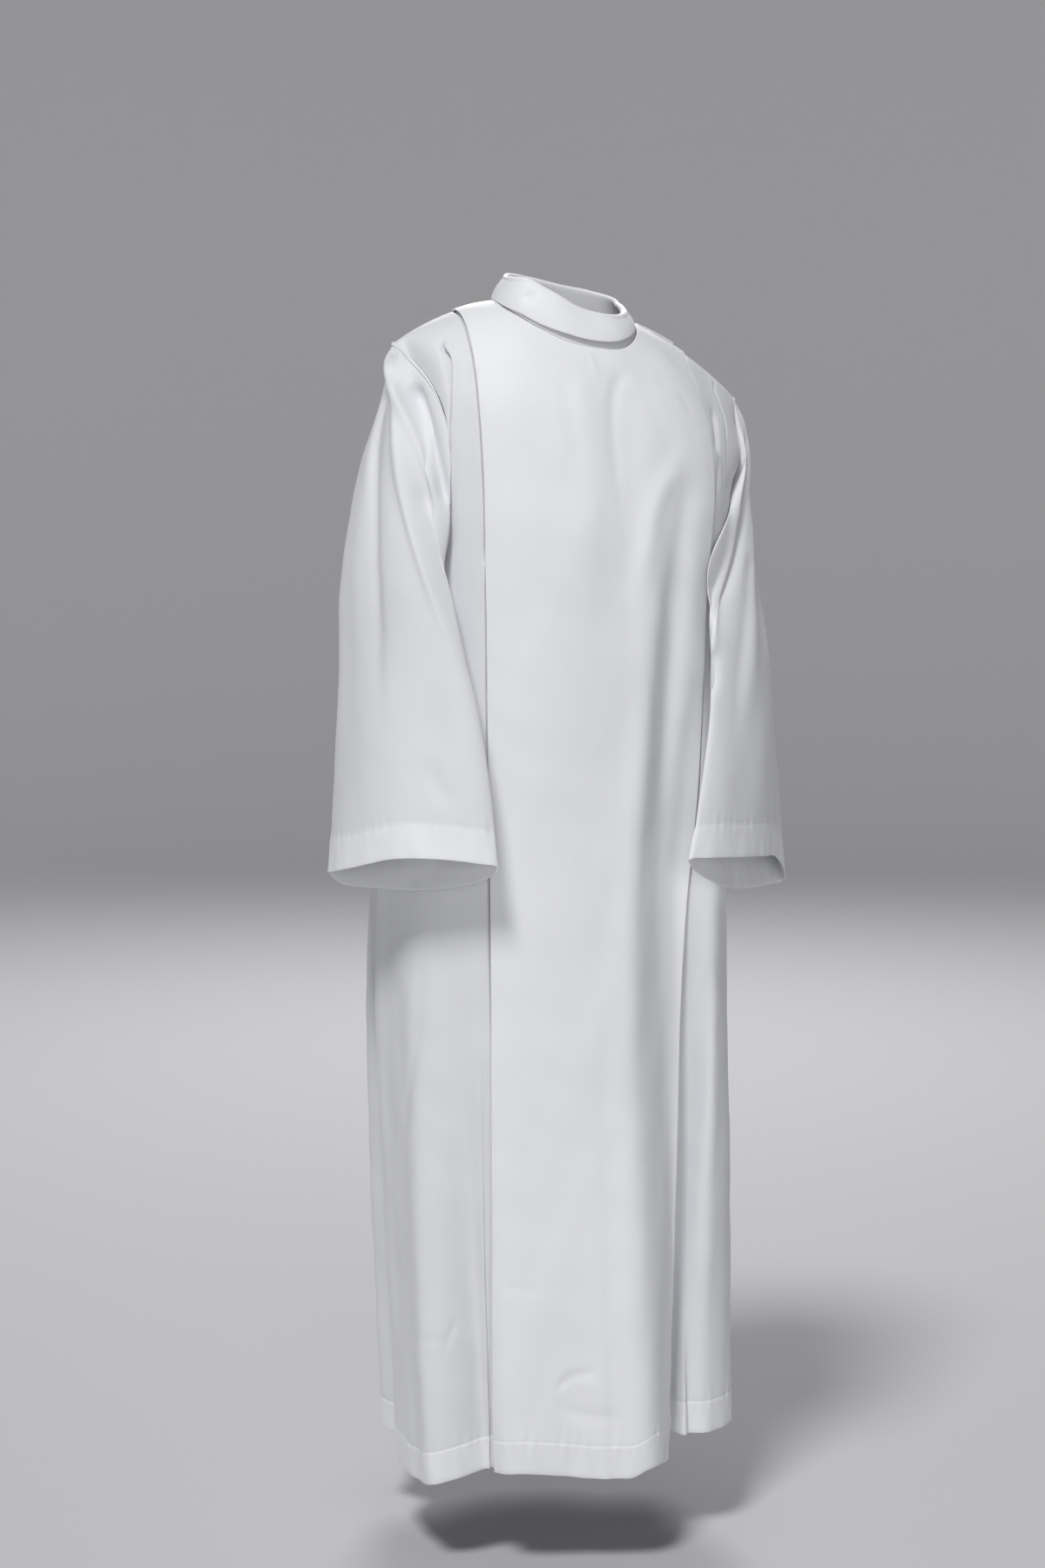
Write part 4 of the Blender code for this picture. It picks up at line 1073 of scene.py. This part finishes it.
def closed_rows(outer, inner):
    """Rows once round the wall: down the outside, round the rim, up the inside and back."""
    half, middle = (outer - inner) / 2, (outer + inner) / 2
    size = np.linalg.norm(half, axis=-1, keepdims=True)

    def rim(i, beyond):
        turns = np.linspace(0, math.pi, RIM + 2)[1:-1]
        return [middle[i] + half[i] * math.cos(a) + beyond * size[i] * math.sin(a) for a in turns]

    bottom = rim(-1, unit(outer[-1] - outer[-2]))
    top = rim(0, unit(outer[0] - outer[1]))[::-1]
    return np.concatenate([outer, bottom, inner[::-1], top])


def wall(name, outer, thickness, wrap, side, doubled):
    """One closed wall of cloth as an object; the grid is its outer side, row by row."""
    rows, columns = outer.shape[:2]
    inner = outer - normals(outer, wrap) * thickness
    if side:
        upper = inner[: CHEST_STEPS + 1, :, 1]  # front and back stay apart at the shoulders
        upper[:] = side * np.maximum(side * upper, SEAM_GAP / 2)
    loop = closed_rows(outer, inner)
    count = len(loop)
    down, across = run_along(outer, 0)[:, columns // 2], run_along(outer, 1)[rows // 2]
    down = np.concatenate([down, [down[-1]] * RIM, down[::-1], [0.0] * RIM])
    across = np.append(across, across[-1] + across[1])
    i, j, quads = cells(count, columns, True, wrap)
    i2 = (i + 1) % count
    u, v = np.stack([j, j, j + 1, j + 1], 1), np.stack([i, i2, i2, i], 1)
    uv = np.stack([across[u], down[v]], axis=-1).reshape(-1, 2)
    faces = quads.tolist()
    if not wrap:
        last = 2 * rows + RIM - 1  # the inner row behind row 0
        side_caps = [[r, last - r, last - r - 1, r + 1] for r in range(rows - 1)]
        side_caps.append([rows - 1] + list(range(rows + RIM, rows - 1, -1)))
        side_caps.append([last, 0] + list(range(count - 1, last, -1)))
        ends = ((0, 1), (columns - 1, -1))
        caps = [[x * columns + end for x in cap[::flip]] for end, flip in ends for cap in side_caps]
        faces += caps
        uv = np.concatenate([uv, np.zeros((sum(len(cap) for cap in caps), 2))])
    thing = build(name, loop, faces)
    thing.data.uv_layers.new(name="cloth").data.foreach_set("uv", uv.ravel())
    # 0 where the cloth is one layer, coloured with painted shade of the hollow behind it; 1 where
    # doubled
    layer = thing.data.attributes.new("doubled", "FLOAT", "POINT")
    doubled = np.concatenate([doubled, doubled[[-1] * RIM], doubled[::-1], doubled[[0] * RIM]])
    layer.data.foreach_set("value", doubled.ravel())
    thing.data.set_sharp_from_angle(angle=SHARP_ANGLE)
    return thing


def stitches(name, path, normal):
    """Short threads along a line of points, as one object."""
    count = len(STITCH_SHAPE)
    tube = [quad[::-1] for quad in cells(count, THREAD_SIDES, False, True)[2].tolist()]
    caps = np.arange(count * THREAD_SIDES).reshape(count, -1).tolist()
    tube += [caps[0][::-1], caps[-1]]
    along = np.concatenate([[0], np.cumsum(np.linalg.norm(np.diff(path, axis=0), axis=1))])
    starts = np.arange(STITCH_GAP, along[-1] - STITCH_LENGTH, STITCH_LENGTH + STITCH_GAP)
    share, height, swell = STITCH_SHAPE.T
    at = starts[:, None] + STITCH_LENGTH * share
    p, n = (np.stack([np.interp(at, along, x) for x in part.T], axis=-1) for part in (path, normal))
    n = unit(n)
    p = p + n * THREAD * height[:, None]
    side = unit(np.cross(n, unit(p[:, -1:] - p[:, :1])))
    size = THREAD * swell[:, None, None]
    a = np.arange(THREAD_SIDES)[:, None] * math.tau / THREAD_SIDES
    ring = p[:, :, None] + size * (n[:, :, None] * np.cos(a) + side[:, :, None] * np.sin(a))
    firsts = range(0, len(ring) * count * THREAD_SIDES, count * THREAD_SIDES)
    return build(name, ring, [[first + x for x in face] for first in firsts for face in tube])


# ---- materials ----
def plain_material(name, colour, roughness):
    material = bpy.data.materials.new(name)
    material.use_nodes = True
    shader = material.node_tree.nodes["Principled BSDF"]
    shader.inputs["Base Color"].default_value = colour
    shader.inputs["Roughness"].default_value = roughness
    return material


def cloth_material(name, single, doubled=None):
    """Woven cloth; with a second colour it is a little whiter wherever it is doubled, its first colour
    greyed with painted shade.
    """
    material = plain_material(name, single, ROUGHNESS)
    tree = material.node_tree
    shader = tree.nodes["Principled BSDF"]
    shader.inputs["Sheen Weight"].default_value = SHEEN
    shader.inputs["Sheen Roughness"].default_value = SHEEN_ROUGHNESS
    shader.inputs["Specular IOR Level"].default_value = SPECULAR

    def node(kind, *feeds, **values):
        """A new node with its values set and its first inputs fed by other nodes' sockets."""
        made = tree.nodes.new(kind)
        for key, value in values.items():
            setattr(made, key, value)
        for socket, feed in zip(made.inputs, feeds):
            if isinstance(feed, (int, float)):
                socket.default_value = feed
            else:
                tree.links.new(feed, socket)
        return made

    # The mix runs from the one-layer colour with its painted shade of the hollow to the doubled white.
    if doubled:
        layers = node("ShaderNodeAttribute", attribute_name="doubled")
        mix = node("ShaderNodeMix", layers.outputs["Fac"], data_type="RGBA")
        first, second = [socket for socket in mix.inputs if socket.type == "RGBA"]
        first.default_value, second.default_value = single, doubled
        tree.links.new(mix.outputs[2], shader.inputs["Base Color"])
    uv = node("ShaderNodeUVMap", uv_map="cloth")
    split = node("ShaderNodeSeparateXYZ", uv.outputs["UV"])
    waves = []
    for axis in ("X", "Y"):
        turns = (split.outputs[axis], math.tau / WEAVE_PITCH)
        scale = node("ShaderNodeMath", *turns, operation="MULTIPLY")
        waves.append(node("ShaderNodeMath", scale.outputs[0], operation="SINE").outputs[0])
    weave = node("ShaderNodeMath", *waves, operation="MULTIPLY")
    bump = node("ShaderNodeBump")
    bump.inputs["Strength"].default_value = WEAVE_STRENGTH
    bump.inputs["Distance"].default_value = WEAVE_HEIGHT
    tree.links.new(weave.outputs[0], bump.inputs["Height"])
    tree.links.new(bump.outputs["Normal"], shader.inputs["Normal"])
    return material


# ---- the pieces ----
def seam_recess(name, grid):
    """How far a side panel is pulled in along the centre panel's edge."""
    edge = pose(edges[name])
    away = np.linalg.norm(grid - edge, axis=-1)
    under = (edge[..., 0] - grid[..., 0]) * np.sign(edge[..., 0])
    sunk = UNDERLAP_SINK * smooth(*UNDERLAP_SINKS, under)
    return -RECESS * bump(away - RECESS_OUT, RECESS_WIDTH) - sunk


def pleat_recess(name, grid):
    """How far a side panel lies behind the centre panel's edge, deeper towards the hem."""
    pleat_here = PLEATS[name]
    low = smooth(pleat_here.top, HEM_Z, edges[name][..., 2])
    away = np.linalg.norm(grid - edges[name], axis=-1)
    depth = pleat_here.depth * low * bump(away, pleat_here.width, 4)
    return grid + points(0.0, depth, 0.0)


def welt_push(grid):
    """The raised seam at the sleeve's head, with a fine groove where it is topstitched."""
    down, along = run_along(grid, 0), run_along(grid, 1)[:1]
    raised = WELT * bump(down - WELT_AT, WELT_WIDTH, 4) * (1 + 0.5 * ripple(along, WELT_LENGTH))
    return raised - WELT_GROOVE * bump(down - 2 * WELT_AT, GROOVE_WIDTH)


def seam_ease(name, grid):
    """0 at the seam round the armhole and down the side, so creases leave it closed; 1 beyond."""
    if name in WELTED:
        return smooth(0.0, SEAM_EASE, run_along(grid, 0))
    if name not in edges:
        return np.ones(grid.shape[:2])
    away = run_along(grid, 1)
    return smooth(0.0, SEAM_EASE, away if name == "front_side_right" else away[:, -1:] - away)


def relax(grid, wrap, passes, share):
    """The grid softened towards its neighbours, by each row's share."""
    share = share[:, None, None]
    for _ in range(passes):
        up, low = np.roll(grid, 1, axis=0), np.roll(grid, -1, axis=0)
        low[-1] = 2 * grid[-1] - grid[-2]
        up[0] = grid[0]
        near = (up + low) / 2
        if wrap:
            near = (near + (np.roll(grid, 1, axis=1) + np.roll(grid, -1, axis=1)) / 2) / 2
        grid = grid + RELAX_SHARE * share * (near - grid)
    return grid


def finish_grid(name, grid, wrap, depth=0.0):
    """The posed grid with its creases, band and unevenness, its doubled share and stitch row."""
    grid = pose(grid)
    normal = normals(grid, wrap)
    shift = normal * unevenness(grid)[..., None]
    if name in edges:
        shift = shift + normal * seam_recess(name, grid)[..., None]
    held = seam_ease(name, grid)[..., None]
    # The centre panel's creases run on into the side panels behind its edges.
    for node_name in ["front_centre", name] if name in edges else [name]:
        for crease in CREASES.get(node_name, ()):
            shift = shift + crease_shift(grid, normal, crease) * held
    if name == "front_centre":
        folded = PLEAT_STEPS + PLEAT_RUN_STEPS  # these columns move with the panel's edge
        shift[:, :folded] = shift[:, folded : folded + 1]
        shift[:, -folded:] = shift[:, -folded - 1 : -folded]
    rows = np.arange(len(grid))
    if name in WELTED:
        grid = relax(grid + shift, wrap, RELAXED, smooth(SEAM_STEPS, 3 * SEAM_STEPS, rows))
        near = SEAM_REACH * (1 - smooth(0.0, SEAM_EASE / 2, run_along(grid, 0)))
        grid = grid - unit(grid[1] - grid[0]) * near[..., None]
        normal = normals(grid, wrap)
        shift = normal * welt_push(grid)[..., None]
    if name in edges or name == "front_centre":
        # The turn from the chest to the skirt is softened.
        grid = relax(grid, wrap, 3 * RELAXED, bump(rows - CHEST_STEPS, RELAX_ROWS))
    doubled, row = np.zeros(grid.shape[:2]), 0
    if depth:
        push, doubled, row = band_push(grid, depth)
        shift = shift + normal * push[..., None]
    return grid + shift, doubled, row


SIDE_PANELS = {-1: "front_side_right", 1: "front_side_left"}
edges = {name: panel_point(np.array([[side]]), 0.0, 0.0) for side, name in SIDE_PANELS.items()}
sides = {side: pleat_recess(name, side_grid(side)) for side, name in SIDE_PANELS.items()}
grids = {
    "front_centre": centre_grid(sides[-1], sides[1]),
    "front_side_right": sides[-1][:, ::-1],
    "front_side_left": sides[1],
    "back": back_grid(),
    "sleeve_right": sleeve_grid(-1),
    "sleeve_left": sleeve_grid(1),
    "collar": collar_grid(),
    "shoulder_placket": placket_grid(),
}
# The hem is the depth of the turned-up band; width, length and area are the flat cut.
PIECES = table(
    "node name thickness side hem doubled width length held area",
    ("front_centre", "centre_panel", CLOTH, -1, HEM_DEPTH, 1, 0.36, 1.50, "hung"),
    ("front_side_right", "side_panel_right", CLOTH, -1, HEM_DEPTH, 0, 0.26, 1.47, "hung", 0.31),
    ("front_side_left", "side_panel_left", CLOTH, -1, HEM_DEPTH, 0, 0.26, 1.47, "hung", 0.31),
    ("back", "back_panel", CLOTH, 1, HEM_DEPTH, 0, 0.80, 1.50, "hung", 0.96),
    ("sleeve_right", "right_sleeve", CLOTH, 0, CUFF_DEPTH, 0, 0.56, 0.70, "hung", 0.33),
    ("sleeve_left", "left_sleeve", CLOTH, 0, CUFF_DEPTH, 0, 0.56, 0.70, "hung", 0.33),
    ("collar", "turned_collar", COLLAR_CLOTH, 0, 0, 1, 0.46, 0.10, "folded"),
    ("shoulder_placket", "placket_strip", PLACKET_CLOTH, 0, 0, 1, 0.05, 0.04, "laid"),
    defaults=(None,),
)
# The first cloth is greyed with painted shade of the hollow wherever it is one layer.
cloths = {
    0: cloth_material("white_polyester", SINGLE_WITH_PAINTED_SHADE, DOUBLED),
    1: cloth_material("white_polyester_doubled", DOUBLED),
}
thread = plain_material("white_thread", THREAD_COLOUR, THREAD_ROUGHNESS)
paths = crease_paths()


def clothe(thing, material):
    """Its material and its body."""
    thing.data.materials.append(material)
    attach(thing, "root")


for piece in PIECES:
    is_round = piece.node in ROUND
    grid, doubled, row = finish_grid(piece.node, grids[piece.node], is_round, piece.hem)
    doubled = np.maximum(doubled, piece.doubled)
    thing = wall(piece.name, grid, piece.thickness, is_round, piece.side, doubled)
    clothe(thing, cloths[piece.doubled])
    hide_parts(piece.node)
    sewn = []
    if piece.hem:
        line = [part[row] for part in (grid, normals(grid, is_round))]
        if is_round:
            line = [np.append(part, part[:1], 0) for part in line]
        sewn.append(stitches(piece.name + "_stitches", *line))
        clothe(sewn[0], thread)

# ---- stage and lights ----
FLOOR_Z = -1.50
FLOOR_RINGS = (0.01, 2.0, 4.0)
FLOOR_RADIUS = 7.0
FLOOR_SIDES = 96
BOWL_RADIUS = 5.0
BOWL_STEPS = 16
FLOOR_COLOUR = (0.50, 0.50, 0.51, 1.0)
FLOOR_ROUGHNESS = 0.85
SKY_COLOUR = (0.80, 0.82, 0.86, 1.0)
SKY_STRENGTH = 0.14


def studio_floor():
    """A round pale floor that curves up into a backdrop."""
    turns = np.linspace(0, math.pi / 2, BOWL_STEPS + 1)
    reach = np.concatenate([FLOOR_RINGS, FLOOR_RADIUS + BOWL_RADIUS * np.sin(turns)])
    height = FLOOR_Z + np.append(np.zeros(len(FLOOR_RINGS)), BOWL_RADIUS * (1 - np.cos(turns)))
    around = np.linspace(0, math.tau, FLOOR_SIDES + 1)[:-1][None, :]
    p = points(reach[:, None] * np.cos(around), reach[:, None] * np.sin(around), height[:, None])
    rows, columns = p.shape[:2]
    faces = cells(rows, columns, False, True)[2].tolist() + [list(range(columns))]
    floor = build("floor", p, faces)
    floor.data.materials.append(plain_material("pale_floor", FLOOR_COLOUR, FLOOR_ROUGHNESS))
    return floor


studio_floor()

LAMPS = table(
    "name place aim size power",
    ("key", (-7.7, -9.8, 18.5), (0, 0, -0.8), 5, 3500),
    ("fill", (-0.8, -4.4, -0.1), (0, 0, -1.3), 2, 31),
    ("back", (1.6, 4.6, 2.4), (0, 0, -0.7), 2.2, 150),
)
for lamp in LAMPS:
    light = bpy.data.lights.new(lamp.name, "AREA")
    light.shape, light.size, light.energy = "DISK", lamp.size, lamp.power
    aim(add_object(lamp.name, light), lamp.place, lamp.aim)

world = bpy.data.worlds.new("studio")
bpy.context.scene.world = world
world.use_nodes = True
sky = world.node_tree.nodes["Background"].inputs
sky["Color"].default_value, sky["Strength"].default_value = SKY_COLOUR, SKY_STRENGTH

bpy.context.scene.view_settings.view_transform = "Standard"
